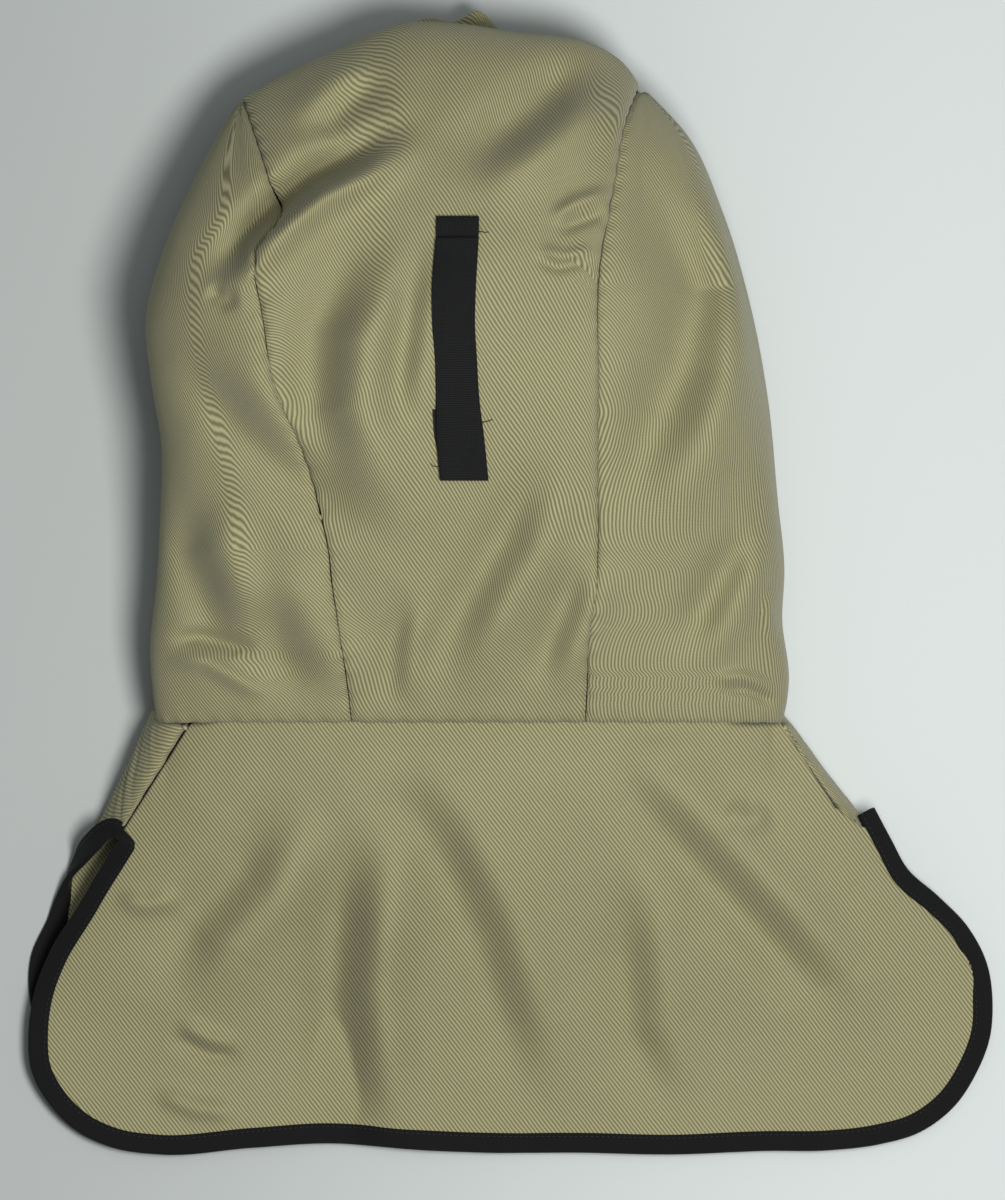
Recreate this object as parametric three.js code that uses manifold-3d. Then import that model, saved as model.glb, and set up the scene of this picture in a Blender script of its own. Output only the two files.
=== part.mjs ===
import * as THREE from 'three';
import { mergeVertices } from 'three/addons/utils/BufferGeometryUtils.js';
import Module from 'manifold-3d';

// A cloth protective hood with a mesh face veil and two shoulder bibs, lying on its face.
// +X runs across the back of the hood, +Y towards the crown, +Z up from the table. Millimetres.

const wasm = await Module();
wasm.setup();

// Hood body
const bodyWidth = 360;
const bodyLength = 404;
const neckY = -77;
const crownStart = 40;
const backRoundness = 2.4;
const faceRoundness = 5;
const faceHeight = 7;
const cloth = 2.4;
const seamGap = 0.7;
const layGap = 0.4;
const neckGap = 1.1;

// Face veil
const windowWidth = 236;
const windowHeight = 226;
const windowCorner = 58;
const windowCentre = [-24, 92];
const casingWidth = 13;
const casingHeight = 6.2;
const casingWall = 1.8;
const hoopWidth = 3;
const veilCloth = 0.8;

// Bibs
const bibWidth = 550;
const bibDrop = 252;
const bibRise = 90;
const hemRise = 14;
const bibFall = 230;
const bibCentre = -10;
const foldDrop = 88;
const bindingWidth = 12;
const bindingCover = 1;

// Back strap
const strapWidth = 25;
const strapLength = 136;
const strapTop = 206;
const strapX = -28;
const strapHem = 10;
const webbing = 1.6;
const patchLength = 31;
const patchWidth = 26;
const patchThickness = 1.5;

// Inside pieces
const tapeWidth = 12;
const tapeThickness = 0.8;
const stayWidth = 6;
const stayThickness = 1;
const stayDrop = 44;
const innerGap = 0.9;
const labelWidth = 34;
const labelLength = 22;
const labelThickness = 0.5;

// Smooth curve through [position, value] stations.
function profile(stations) {
  const at = stations.map((s) => s[0]);
  const values = stations.map((s) => s[1]);
  const spline = new THREE.CubicInterpolant(at, values, 1, new Float64Array(1));
  return (t) => spline.evaluate(t)[0];
}

// Plan curves of the body: share of the length from the neck against share of the width.
const leftSide = profile([[0, -0.558], [0.104, -0.567], [0.339, -0.547], [0.562, -0.571],
  [0.767, -0.492], [0.876, -0.424], [1.05, -0.31]]);
const rightSide = profile([[0, 0.435], [0.146, 0.428], [0.314, 0.419], [0.455, 0.403],
  [0.597, 0.372], [0.718, 0.331], [0.824, 0.276], [0.891, 0.21], [1.05, 0.15]]);
const leftSeam = profile([[0, -0.25], [0.104, -0.261], [0.287, -0.294], [0.455, -0.357],
  [0.6, -0.395], [0.775, -0.392], [0.876, -0.42]]);
const rightSeam = profile([[0, 0.117], [0.203, 0.135], [0.455, 0.138], [0.651, 0.142],
  [0.733, 0.161], [0.854, 0.189], [0.891, 0.204]]);
const crownEdge = profile([[-0.424, 0.876], [-0.26, 0.948], [-0.178, 0.983], [-0.083, 0.998],
  [-0.025, 1], [0.042, 0.975], [0.111, 0.957], [0.183, 0.921], [0.206, 0.891]]);

// Heights of the widest line and of the back above it, along the body.
const sideHeight = profile([[0, 42], [0.25, 62], [0.5, 78], [1, 70]]);
const backRise = profile([[0, 50], [0.25, 84], [0.5, 106], [1, 96]]);

const share = (y) => (y - neckY) / bodyLength;
const leftX = (y) => bodyWidth * leftSide(share(y));
const rightX = (y) => bodyWidth * rightSide(share(y));
const crownY = (x) => neckY + bodyLength * crownEdge(x / bodyWidth);

const clamp = THREE.MathUtils.clamp;
const lerp = THREE.MathUtils.lerp;

// Fullness from 1 on the middle of the body to 0 on its plan outline.
function fullness(x, y, roundness) {
  const half = (rightX(y) - leftX(y)) / 2;
  const across = clamp(Math.abs(x - (rightX(y) + leftX(y)) / 2) / half, 0, 1);
  const along = clamp((y - crownStart) / (crownY(x) - crownStart), 0, 1);
  return Math.pow((1 - Math.pow(across, roundness)) * (1 - Math.pow(along, roundness)), 1 / roundness);
}

function backPoint(x, y) {
  const s = share(y);
  return new THREE.Vector3(x, y, sideHeight(s) + backRise(s) * fullness(x, y, backRoundness));
}

function facePoint(x, y) {
  const side = sideHeight(share(y));
  return new THREE.Vector3(x, y, side - (side - faceHeight) * fullness(x, y, faceRoundness));
}

// Point on the section at y, turned from the right side (0) over the back to the left side (PI) and
// on round the face side.
function sectionPoint(turn, y) {
  const back = Math.sin(turn) >= 0;
  const roundness = back ? backRoundness : faceRoundness;
  const half = (rightX(y) - leftX(y)) / 2;
  const reach = Math.sign(Math.cos(turn)) * Math.pow(Math.abs(Math.cos(turn)), 2 / roundness);
  const x = (rightX(y) + leftX(y)) / 2 + half * reach;
  return back ? backPoint(x, y) : facePoint(x, y);
}

function turnAt(x, y, back) {
  const half = (rightX(y) - leftX(y)) / 2;
  const reach = clamp((x - (rightX(y) + leftX(y)) / 2) / half, -1, 1);
  const roundness = back ? backRoundness : faceRoundness;
  const angle = Math.acos(Math.sign(reach) * Math.pow(Math.abs(reach), roundness / 2));
  return back ? angle : 2 * Math.PI - angle;
}

// Outward direction of a surface at (u, v), from four nearby points.
function outward(surface, u, v) {
  const step = 0.004;
  const du = surface(u + step, v).sub(surface(u - step, v));
  const dv = surface(u, v + step).sub(surface(u, v - step));
  return du.cross(dv).normalize();
}

// A box of cols by rows cells, bent onto a surface: from "sunk" below it to "sunk + thick" below.
// "spacing" places the rows along v.
function bentSheet(surface, thick, cols, rows, sunk = 0, spacing = (v) => v) {
  const geometry = new THREE.BoxGeometry(1, 1, 1, cols, rows, 1);
  const position = geometry.attributes.position;
  for (let i = 0; i < position.count; i += 1) {
    const u = position.getX(i) + 0.5;
    const v = spacing(position.getY(i) + 0.5);
    const depth = sunk + (0.5 - position.getZ(i)) * thick;
    const point = surface(u, v).addScaledVector(outward(surface, u, v), -depth);
    position.setXYZ(i, point.x, point.y, point.z);
  }
  return geometry;
}

// Closed prism over a plan outline.
function prism(points, low, high) {
  const shape = new THREE.Shape(points);
  const geometry = new THREE.ExtrudeGeometry(shape, { depth: high - low, bevelEnabled: false });
  return geometry.translate(0, 0, low);
}

function toSolid(geometry) {
  const bare = geometry.clone();
  bare.deleteAttribute('normal');
  bare.deleteAttribute('uv');
  const merged = mergeVertices(bare, 1e-4);
  return new wasm.Manifold(new wasm.Mesh({
    numProp: 3,
    vertProperties: new Float32Array(merged.attributes.position.array),
    triVerts: new Uint32Array(merged.index.array),
  }));
}

function toGeometry(solid) {
  const mesh = solid.getMesh();
  const geometry = new THREE.BufferGeometry();
  geometry.setAttribute('position', new THREE.BufferAttribute(mesh.vertProperties, 3));
  geometry.setIndex(new THREE.BufferAttribute(mesh.triVerts, 1));
  geometry.computeVertexNormals();
  return geometry;
}

const overlap = (a, b) => toGeometry(toSolid(a).intersect(toSolid(b)));
const without = (a, b) => toGeometry(toSolid(a).subtract(toSolid(b)));

// Materials
const fabric = (color) => new THREE.MeshStandardMaterial({ color, roughness: 0.9, metalness: 0 });
const twill = fabric(0xb4ad7d);
const black = fabric(0x17171b);
const netting = new THREE.MeshStandardMaterial({ color: 0x1c1c1e, roughness: 0.7, metalness: 0 });
const steel = new THREE.MeshStandardMaterial({ color: 0x9a9ca0, roughness: 0.35, metalness: 1 });
const white = fabric(0xe4e2da);

const hood = new THREE.Group();

function piece(name, geometry, material) {
  const mesh = new THREE.Mesh(geometry, material);
  mesh.name = name;
  hood.add(mesh);
}

// ---- Hood panels: the back panel, two side panels, the brow panel and the chin panel ----

const leftCorner = { x: bodyWidth * -0.424, y: neckY + bodyLength * 0.876 };
const rightCorner = { x: bodyWidth * 0.206, y: neckY + bodyLength * 0.891 };
const hoodFoot = neckY + seamGap / 2;

const leftSeamX = (y) => bodyWidth * leftSeam(share(Math.min(y, leftCorner.y)));
const rightSeamX = (y) => bodyWidth * rightSeam(share(Math.min(y, rightCorner.y)));

// On the face side the seams run straight past the veil, then out to the corners of the crown.
const faceSeamReach = windowWidth * 0.32;
const faceSeamTurn = windowCentre[1] + windowHeight * 0.32;

function faceSeamX(y, side, corner) {
  const straight = windowCentre[0] + side * faceSeamReach;
  const t = clamp((y - faceSeamTurn) / (corner.y - faceSeamTurn), 0, 1);
  return lerp(straight, corner.x, t);
}

const leftFaceSeamX = (y) => faceSeamX(y, -1, leftCorner);
const rightFaceSeamX = (y) => faceSeamX(y, 1, rightCorner);

// Plan point of the strip between two seams, from y = base up to the crown edge.
function stripPlan(across, along, base, seamX, inset) {
  const left = seamX.left(lerp(base, leftCorner.y, along)) + inset;
  const right = seamX.right(lerp(base, rightCorner.y, along)) - inset;
  const topX = lerp(leftCorner.x, rightCorner.x, clamp(across, 0, 1));
  return [lerp(left, right, across), lerp(base, crownY(topX), along)];
}

function backStrip(u, v) {
  const seams = { left: leftSeamX, right: rightSeamX };
  const [x, y] = stripPlan(u, v, hoodFoot, seams, seamGap / 2);
  const point = backPoint(x, y);
  point.z = Math.max(point.z, sideHeight(share(y)) + seamGap);
  return point;
}

const browFoot = windowCentre[1] + windowHeight * 0.2;

function browStrip(u, v) {
  const seams = { left: leftFaceSeamX, right: rightFaceSeamX };
  const [x, y] = stripPlan(1 - u, v, browFoot, seams, seamGap / 2);
  const point = facePoint(x, y);
  point.z = Math.min(point.z, sideHeight(share(y)) - seamGap);
  return point;
}

function chinStrip(u, v) {
  const y = lerp(hoodFoot, windowCentre[1] - windowHeight * 0.3, v);
  return facePoint(lerp(rightFaceSeamX(y) - seamGap / 2, leftFaceSeamX(y) + seamGap / 2, u), y);
}

const cornerTrim = 12;

function leftPanel(u, v) {
  const y = lerp(hoodFoot, leftCorner.y - cornerTrim, v);
  const back = turnAt(leftSeamX(y) - seamGap / 2, y, true);
  const face = turnAt(leftFaceSeamX(y) - seamGap / 2, y, false);
  return sectionPoint(lerp(face, back, u), y);
}

function rightPanel(u, v) {
  const y = lerp(hoodFoot, rightCorner.y - cornerTrim, v);
  const back = turnAt(rightSeamX(y) + seamGap / 2, y, true);
  const face = turnAt(rightFaceSeamX(y) + seamGap / 2, y, false) - 2 * Math.PI;
  return sectionPoint(lerp(back, face, u), y);
}

// Rounded rectangle round the middle of the veil, drawn in from its outer edge by "inset".
function windowOutline(inset) {
  const halfWidth = windowWidth / 2 - inset;
  const halfHeight = windowHeight / 2 - inset;
  const radius = windowCorner - inset;
  const points = [];
  const arcSteps = 7;
  const corners = [[1, 1, 0], [-1, 1, 1], [-1, -1, 2], [1, -1, 3]];
  for (const [sx, sy, quarter] of corners) {
    for (let i = 0; i <= arcSteps; i += 1) {
      const angle = (quarter + i / arcSteps) * Math.PI / 2;
      points.push(new THREE.Vector2(
        windowCentre[0] + sx * (halfWidth - radius) + radius * Math.cos(angle),
        windowCentre[1] + sy * (halfHeight - radius) + radius * Math.sin(angle),
      ));
    }
  }
  return points;
}

const crownEase = (v) => 1 - Math.pow(1 - v, 2);
const windowCut = prism(windowOutline(8), -5, 30);

piece('back_panel', bentSheet(backStrip, cloth, 12, 22, 0, crownEase), twill);
piece('left_side_panel', without(bentSheet(leftPanel, cloth, 20, 16), windowCut), twill);
piece('right_side_panel', without(bentSheet(rightPanel, cloth, 20, 16), windowCut), twill);
piece('brow_panel', without(bentSheet(browStrip, cloth, 12, 14, 0, crownEase), windowCut), twill);
piece('chin_panel', without(bentSheet(chinStrip, cloth, 10, 4), windowCut), twill);

// ---- Face veil: netting held with a spring hoop in a channelled tape casing ----

const casingTop = faceHeight - layGap;
const casingFoot = casingTop - casingHeight;
const channelDepth = 8;

function ring(outer, inner, low, high) {
  return without(prism(windowOutline(outer), low, high), prism(windowOutline(inner), low - 1, high + 1));
}

const channelLow = casingFoot + casingWall;
const channelHigh = casingTop - casingWall;
const channelBack = casingWidth - channelDepth - 1;
const channel = ring(channelBack, casingWidth + 2, channelLow, channelHigh);
const hoopOuter = channelBack + layGap;
const veilEdge = hoopOuter + hoopWidth + layGap;
const veilMiddle = (channelLow + channelHigh) / 2;

piece('veil_casing', without(ring(0, casingWidth, casingFoot, casingTop), channel), black);
piece('face_hoop', ring(hoopOuter, hoopOuter + hoopWidth, channelLow + 0.3, channelHigh - 0.3), steel);
piece('face_veil', prism(windowOutline(veilEdge), veilMiddle - veilCloth / 2, veilMiddle + veilCloth / 2),
  netting);

// ---- Inside of the hood: crown stay under its tape, neck tape and a blank care label ----

const part = (surface, u0, u1, v0, v1) => (u, v) => surface(lerp(u0, u1, u), lerp(v0, v1, v));
const alongStrip = (y) => (y - hoodFoot) / (crownY(strapX) - hoodFoot);
const stayV = alongStrip(crownY(strapX) - stayDrop);
const perMm = 1 / (crownY(strapX) - hoodFoot);
const staySunk = cloth + innerGap;
const stayTapeSunk = staySunk + stayThickness + layGap;

piece('crown_stay', bentSheet(
  part(backStrip, 0.08, 0.92, stayV - stayWidth / 2 * perMm, stayV + stayWidth / 2 * perMm),
  stayThickness, 12, 2, staySunk), steel);
piece('crown_stay_tape', bentSheet(
  part(backStrip, 0.06, 0.94, stayV - tapeWidth / 2 * perMm, stayV + tapeWidth / 2 * perMm),
  tapeThickness, 12, 4, stayTapeSunk), black);

const neckTapeSunk = cloth + innerGap;
piece('neck_tape', bentSheet(
  part(backStrip, 0.02, 0.98, 2 * perMm, (2 + tapeWidth) * perMm),
  tapeThickness, 12, 2, neckTapeSunk), black);

const labelSunk = neckTapeSunk + tapeThickness + layGap;
const labelHalf = labelWidth / 2 / (rightSeamX(neckY) - leftSeamX(neckY));
piece('care_label', bentSheet(
  part(backStrip, 0.5 - labelHalf, 0.5 + labelHalf, 4 * perMm, (4 + labelLength) * perMm),
  labelThickness, 3, 2, labelSunk), white);

// ---- Bibs: open edges as [share of half the span, share of the drop], right to left ----

const backEdgeShares = [[0.753, 0.19], [0.789, 0.264], [0.822, 0.329], [0.887, 0.393], [0.949, 0.464],
  [0.989, 0.552], [1, 0.639], [0.996, 0.71], [0.967, 0.798], [0.92, 0.877], [0.847, 0.937],
  [0.764, 0.964], [0.524, 0.98], [0.335, 0.988], [0, 0.984], [-0.207, 0.976], [-0.375, 0.962],
  [-0.531, 0.972], [-0.727, 0.988], [-0.825, 0.972], [-0.895, 0.937], [-0.953, 0.877], [-0.993, 0.798],
  [-1, 0.702], [-0.989, 0.619], [-0.953, 0.516], [-0.896, 0.415], [-0.818, 0.268], [-0.789, 0.214]];
const frontEdgeShares = [[0.735, 0.21], [0.78, 0.3], [0.86, 0.4], [0.93, 0.5], [0.965, 0.6], [0.96, 0.7],
  [0.92, 0.79], [0.84, 0.86], [0.7, 0.9], [0.4, 0.92], [0, 0.925], [-0.4, 0.92], [-0.7, 0.915],
  [-0.85, 0.885], [-0.94, 0.8], [-0.985, 0.7], [-1, 0.62], [-0.995, 0.53], [-0.952, 0.41],
  [-0.905, 0.3], [-0.845, 0.226]];

const bibPoint = ([a, b]) => new THREE.Vector2(a * bibWidth / 2, neckY - b * bibDrop);
const bibTop = neckY - neckGap;
const foldY = neckY - foldDrop;
const gussetTop = { left: bodyWidth * -0.492, right: bodyWidth * 0.431 };
const gussetFoot = { left: bibPoint([-0.774, 0.214]), right: bibPoint([0.695, 0.198]) };

// Points along a smooth open edge, and the same edge moved in by a width.
function smoothEdge(shares, count) {
  return new THREE.SplineCurve(shares.map(bibPoint)).getSpacedPoints(count);
}

function movedIn(edge, width) {
  return edge.map((point, i) => {
    const before = edge[Math.max(i - 1, 0)];
    const after = edge[Math.min(i + 1, edge.length - 1)];
    const along = after.clone().sub(before).normalize();
    return new THREE.Vector2(point.x + along.y * width, point.y - along.x * width);
  });
}

function clothOutline(edge) {
  return [new THREE.Vector2(gussetTop.left, bibTop), new THREE.Vector2(gussetTop.right, bibTop),
    gussetFoot.right, ...movedIn(edge, bindingWidth + layGap), gussetFoot.left];
}

const bandOutline = (edge) => [...edge, ...movedIn(edge, bindingWidth).reverse()];

function bibHeight(x, y) {
  const t = clamp((neckY - y) / bibFall, 0, 1);
  const halfSpan = bibWidth * (0.436 + 0.109 * t);
  const arch = Math.max(0, 1 - Math.pow(Math.abs((x - bibCentre) / halfSpan), 3));
  return hemRise + (bibRise - hemRise) * (1 - THREE.MathUtils.smoothstep(t, 0, 1)) * arch;
}

function backBib(u, v) {
  const x = (u - 0.5) * (bibWidth + 20);
  const y = lerp(neckY - bibDrop - 10, neckY, v);
  return new THREE.Vector3(x, y, bibHeight(x, y));
}

const backEdge = smoothEdge(backEdgeShares, 84);
const backCloth = bentSheet(backBib, cloth, 22, 12);
const backBand = bentSheet(backBib, cloth + 2 * bindingCover, 22, 12, -bindingCover);
const clothPrism = prism(clothOutline(backEdge), -5, bibRise + 20);
const bandPrism = prism(bandOutline(backEdge), -5, bibRise + 20);
const halfPlane = (x0, x1, y0, y1) => prism([new THREE.Vector2(x0, y0), new THREE.Vector2(x1, y0),
  new THREE.Vector2(x1, y1), new THREE.Vector2(x0, y1)], -10, bibRise + 30);
const below = halfPlane(-bibWidth, bibWidth, foldY - bibDrop, foldY - seamGap / 2);
const aboveLeft = halfPlane(-bibWidth, 0, foldY + seamGap / 2, 0);
const aboveRight = halfPlane(0, bibWidth, foldY + seamGap / 2, 0);
const above = halfPlane(-bibWidth, bibWidth, foldY + seamGap / 2, 0);

const bibCloth = overlap(backCloth, clothPrism);
const bibBand = overlap(backBand, bandPrism);
piece('back_yoke', overlap(bibCloth, above), twill);
piece('back_bib', overlap(bibCloth, below), twill);
piece('back_binding', overlap(bibBand, below), black);
piece('left_yoke_binding', overlap(bibBand, aboveLeft), black);
piece('right_yoke_binding', overlap(bibBand, aboveRight), black);

const frontEdge = smoothEdge(frontEdgeShares, 64);
piece('front_bib', prism(clothOutline(frontEdge), 0, cloth), twill);
piece('front_binding', prism(bandOutline(frontEdge), 0, cloth + bindingCover), black);

// ---- Gussets: short side walls from the back yoke round to the front bib, with a bound edge ----

const gussetLift = 3;
const overBand = cloth + 4 * bindingCover + layGap;

// Wall bulging out from a seam line; u runs so that the outside faces out on either side.
function wall(side, top, foot, reach, low) {
  return (u, v) => {
    const angle = (side < 0 ? u - 0.5 : 0.5 - u) * Math.PI;
    const x = lerp(top.x, foot.x, v);
    const y = lerp(top.y, foot.y, v);
    const high = bibHeight(x, y);
    const z = (high + low) / 2 + (high - low) / 2 * Math.sin(angle);
    return new THREE.Vector3(x + side * (seamGap + lerp(reach[0], reach[1], v) * Math.cos(angle)), y, z);
  };
}

const gussetStart = (x) => new THREE.Vector2(x, bibTop);
piece('left_gusset', bentSheet(
  wall(-1, gussetStart(gussetTop.left), gussetFoot.left, [24, 15], gussetLift), cloth, 14, 5), twill);
piece('right_gusset', bentSheet(
  wall(1, gussetStart(gussetTop.right), gussetFoot.right, [9, 8], gussetLift), cloth, 14, 5), twill);

// The bound edge of a gusset stands clear of the yoke's own binding by seamGap all along.
const clearOf = (point, side) => new THREE.Vector2(point.x + side * seamGap, point.y - neckGap);
piece('left_notch_binding', bentSheet(
  wall(-1, clearOf(backEdge[backEdge.length - 1], -1), clearOf(bibPoint(backEdgeShares[27]), -1), [10, 8],
    overBand), cloth + 2 * bindingCover, 14, 3, -bindingCover), black);
piece('right_notch_binding', bentSheet(
  wall(1, clearOf(backEdge[0], 1), clearOf(bibPoint(backEdgeShares[1]), 1), [6, 5],
    overBand), cloth + 2 * bindingCover, 14, 3, -bindingCover), black);

// ---- Back strap: a hemmed webbing tab sewn at its top, held down by a hook and loop patch ----

const strapFoot = strapTop - strapHem - seamGap;
const patchFoot = strapTop - strapLength + 5;
const patchLift = layGap;
const tabLift = patchLift + patchThickness + layGap;
const liftOverPatch = tabLift + patchThickness + layGap;

function strapSurface(x0, x1, y0, y1, lift) {
  return (u, v) => {
    const y = lerp(y0, y1, v);
    const point = backPoint(lerp(x0, x1, u), y);
    const slopeX = (backPoint(point.x + 1, y).z - backPoint(point.x - 1, y).z) / 2;
    const slopeY = (backPoint(point.x, y + 1).z - backPoint(point.x, y - 1).z) / 2;
    const normal = new THREE.Vector3(-slopeX, -slopeY, 1).normalize();
    return point.addScaledVector(normal, lift(y));
  };
}

const strapLeft = strapX - strapWidth / 2;
const strapRight = strapX + strapWidth / 2;
const patchLeft = strapRight - patchWidth - 2;
const patchRight = strapRight - 2;

function strapLift(y) {
  const t = THREE.MathUtils.smoothstep(y, patchFoot + patchLength, strapFoot - 10);
  return lerp(liftOverPatch, layGap, t) + webbing;
}

piece('loop_patch', bentSheet(
  strapSurface(patchLeft, patchRight, patchFoot, patchFoot + patchLength, () => patchLift + patchThickness),
  patchThickness, 4, 4), black);
piece('hook_tab', bentSheet(
  strapSurface(strapLeft + 2, strapRight - 2, patchFoot + 1, patchFoot + patchLength - 1,
    () => tabLift + patchThickness), patchThickness, 4, 4), black);
piece('back_strap', bentSheet(
  strapSurface(strapLeft, strapRight, strapTop - strapLength - strapHem, strapFoot, strapLift),
  webbing, 4, 18), black);
piece('strap_hem', bentSheet(
  strapSurface(strapLeft, strapRight, strapTop - strapHem, strapTop, () => layGap + 2 * webbing),
  2 * webbing, 4, 3), black);

// The box's middle goes over the origin, with its lowest face on the table.
const box = new THREE.Box3().setFromObject(hood);
const middle = box.getCenter(new THREE.Vector3());
hood.position.set(-middle.x, -middle.y, -box.min.z);

export default hood;
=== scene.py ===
import bpy
import bmesh
import math
import numpy as np
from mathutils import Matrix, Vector, noise


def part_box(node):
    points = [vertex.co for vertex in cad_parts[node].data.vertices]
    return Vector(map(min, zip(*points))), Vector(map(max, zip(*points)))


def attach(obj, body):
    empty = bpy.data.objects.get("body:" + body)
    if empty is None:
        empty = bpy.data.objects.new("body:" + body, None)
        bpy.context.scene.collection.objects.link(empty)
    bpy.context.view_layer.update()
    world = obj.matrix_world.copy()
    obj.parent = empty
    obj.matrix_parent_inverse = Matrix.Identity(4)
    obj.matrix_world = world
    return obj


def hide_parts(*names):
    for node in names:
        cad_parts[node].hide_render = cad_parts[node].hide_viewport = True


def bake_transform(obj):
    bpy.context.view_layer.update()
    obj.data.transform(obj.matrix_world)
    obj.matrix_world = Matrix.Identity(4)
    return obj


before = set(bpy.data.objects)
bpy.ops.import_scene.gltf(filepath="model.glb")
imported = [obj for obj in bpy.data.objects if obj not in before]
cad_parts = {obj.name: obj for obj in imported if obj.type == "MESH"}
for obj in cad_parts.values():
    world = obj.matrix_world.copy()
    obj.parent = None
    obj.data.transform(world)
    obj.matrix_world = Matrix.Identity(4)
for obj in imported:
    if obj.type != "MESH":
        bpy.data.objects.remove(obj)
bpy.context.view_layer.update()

MM = 0.001

# ---- Table, light and camera ----
# The hood lies on a pale table, under a window lamp to the right and below, a weaker ceiling
# lamp behind it and a dim sky. The table's colour is painted lighter towards the right: painted
# light falling off from the window lamp.
# The camera looks straight down on the hood's back.

VIEW_HEIGHT = 7.0
VIEW_LENS = 368
VIEW_POINT = (-0.0046, -0.0072)


def set_inputs(node, values):
    for socket, value in values.items():
        node.inputs[socket].default_value = value


def wire(tree, *links):
    """Joins nodes of a tree, each link given as (node, output, node, input)."""
    for giver, output, taker, socket in links:
        tree.links.new(giver.outputs[output], taker.inputs[socket])


def feed_surface(tree, socket, value):
    tree.links.new(value, tree.nodes["Principled BSDF"].inputs[socket])


def plain_material(name, colour, roughness):
    material = bpy.data.materials.new(name)
    material.use_nodes = True
    set_inputs(material.node_tree.nodes["Principled BSDF"],
               {"Base Color": (*colour, 1), "Roughness": roughness})
    return material


def lay_table():
    bpy.ops.mesh.primitive_plane_add(size=8, location=(0, 0, -0.0004))
    table = bpy.context.object
    table.name = "table"
    material = plain_material("pale_table_painted_falloff", (0.7, 0.76, 0.75), 0.6)
    tree = material.node_tree
    # The colour is painted lighter towards the right and darker towards the left: painted falloff of the window
    # lamp's light, not a real change in the table.
    place = tree.nodes.new("ShaderNodeTexCoord")
    parts = tree.nodes.new("ShaderNodeSeparateXYZ")
    shade = tree.nodes.new("ShaderNodeMapRange")
    shade.interpolation_type = "SMOOTHSTEP"
    set_inputs(shade, {"From Min": -0.32, "From Max": 0.26})
    tone = tree.nodes.new("ShaderNodeMix")
    tone.data_type = "RGBA"
    set_inputs(tone, {6: (0.445, 0.475, 0.467, 1), 7: (0.66, 0.71, 0.705, 1)})
    wire(tree, (place, "Object", parts, 0), (parts, "X", shade, "Value"), (shade, "Result", tone, 0))
    feed_surface(tree, "Base Color", tone.outputs[2])
    table.data.materials.append(material)


def add_light(name, place, aim, size, power, colour):
    light = bpy.data.lights.new(name, "AREA")
    light.shape = "DISK"
    light.size = size
    light.energy = power
    light.color = colour
    lamp = bpy.data.objects.new(name, light)
    lamp.location = place
    lamp.rotation_euler = (Vector(aim) - Vector(place)).to_track_quat("-Z", "Y").to_euler()
    bpy.context.collection.objects.link(lamp)


def set_camera():
    lens = bpy.data.cameras.new("camera")
    lens.lens = VIEW_LENS
    lens.sensor_width = 36
    camera = bpy.data.objects.new("camera", lens)
    camera.location = (*VIEW_POINT, VIEW_HEIGHT)
    bpy.context.collection.objects.link(camera)
    bpy.context.scene.camera = camera


def light_room():
    add_light("window", (0.38, -0.2, 2.2), (0, 0, 0.05), 0.6, 39, (1, 0.99, 0.97))
    add_light("ceiling", (0.2, 0.5, 2.9), (0, 0, 0), 1.3, 8, (0.95, 0.98, 1))
    world = bpy.data.worlds.new("sky")
    world.use_nodes = True
    set_inputs(world.node_tree.nodes["Background"], {"Color": (0.93, 0.97, 1, 1), "Strength": 0.17})
    bpy.context.scene.world = world
    bpy.context.scene.view_settings.view_transform = "Standard"


lay_table()
set_camera()
light_room()

# ---- Hood body: the curve of the whole skin, which every panel is cut to ----
# Two plies of khaki twill over the wearer's head, sewn from five panels and lying on its face.
# The skin is full over the back of the head, flat on the face side and held out at two crown corners.

BACK_ROUNDNESS = 2.4
FACE_ROUNDNESS = 5.0


def low(node, axis):
    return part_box(node)[0][axis] / MM


def high(node, axis):
    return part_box(node)[1][axis] / MM


NECK_Y = low("back_panel", 1)
BODY_LENGTH = high("back_panel", 1) - NECK_Y
BODY_WIDTH = (high("right_side_panel", 0) - low("left_side_panel", 0)) / 1.007
FACE_HEIGHT = low("chin_panel", 2)
DOME_START = 41.0


def profile(stations):
    """Smooth curve through [position, value] stations, for arrays."""
    at = np.array([s[0] for s in stations], float)
    value = np.array([s[1] for s in stations], float)
    slope = np.gradient(value, at)

    def curve(t):
        t = np.clip(np.asarray(t, float), at[0], at[-1])
        i = np.clip(np.searchsorted(at, t) - 1, 0, len(at) - 2)
        step = at[i + 1] - at[i]
        s = (t - at[i]) / step
        rise = 3 * s ** 2 - 2 * s ** 3
        ease_in = s * (1 - s) ** 2 * slope[i]
        ease_out = s ** 2 * (s - 1) * slope[i + 1]
        return value[i] + (value[i + 1] - value[i]) * rise + step * (ease_in + ease_out)

    return curve


# Plan curves: share of the length from the neck against share of the width.
left_side = profile([[0, -0.558], [0.104, -0.567], [0.2, -0.556], [0.29, -0.55], [0.385, -0.547],
                     [0.485, -0.564], [0.569, -0.571], [0.653, -0.547], [0.767, -0.492],
                     [0.876, -0.424], [1.05, -0.31]])
right_side = profile([[0, 0.43], [0.062, 0.438], [0.146, 0.427], [0.215, 0.43], [0.314, 0.419],
                      [0.455, 0.403], [0.597, 0.372], [0.718, 0.331], [0.824, 0.276],
                      [0.891, 0.21], [1.05, 0.15]])
left_seam = profile([[0, -0.25], [0.104, -0.261], [0.203, -0.278], [0.287, -0.294], [0.371, -0.325],
                     [0.455, -0.357], [0.6, -0.393], [0.65, -0.4], [0.71, -0.36], [0.775, -0.385],
                     [0.876, -0.424]])
right_seam = profile([[0, 0.117], [0.104, 0.125], [0.203, 0.135], [0.455, 0.138], [0.651, 0.142],
                      [0.733, 0.161], [0.854, 0.189], [0.891, 0.206]])
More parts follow.
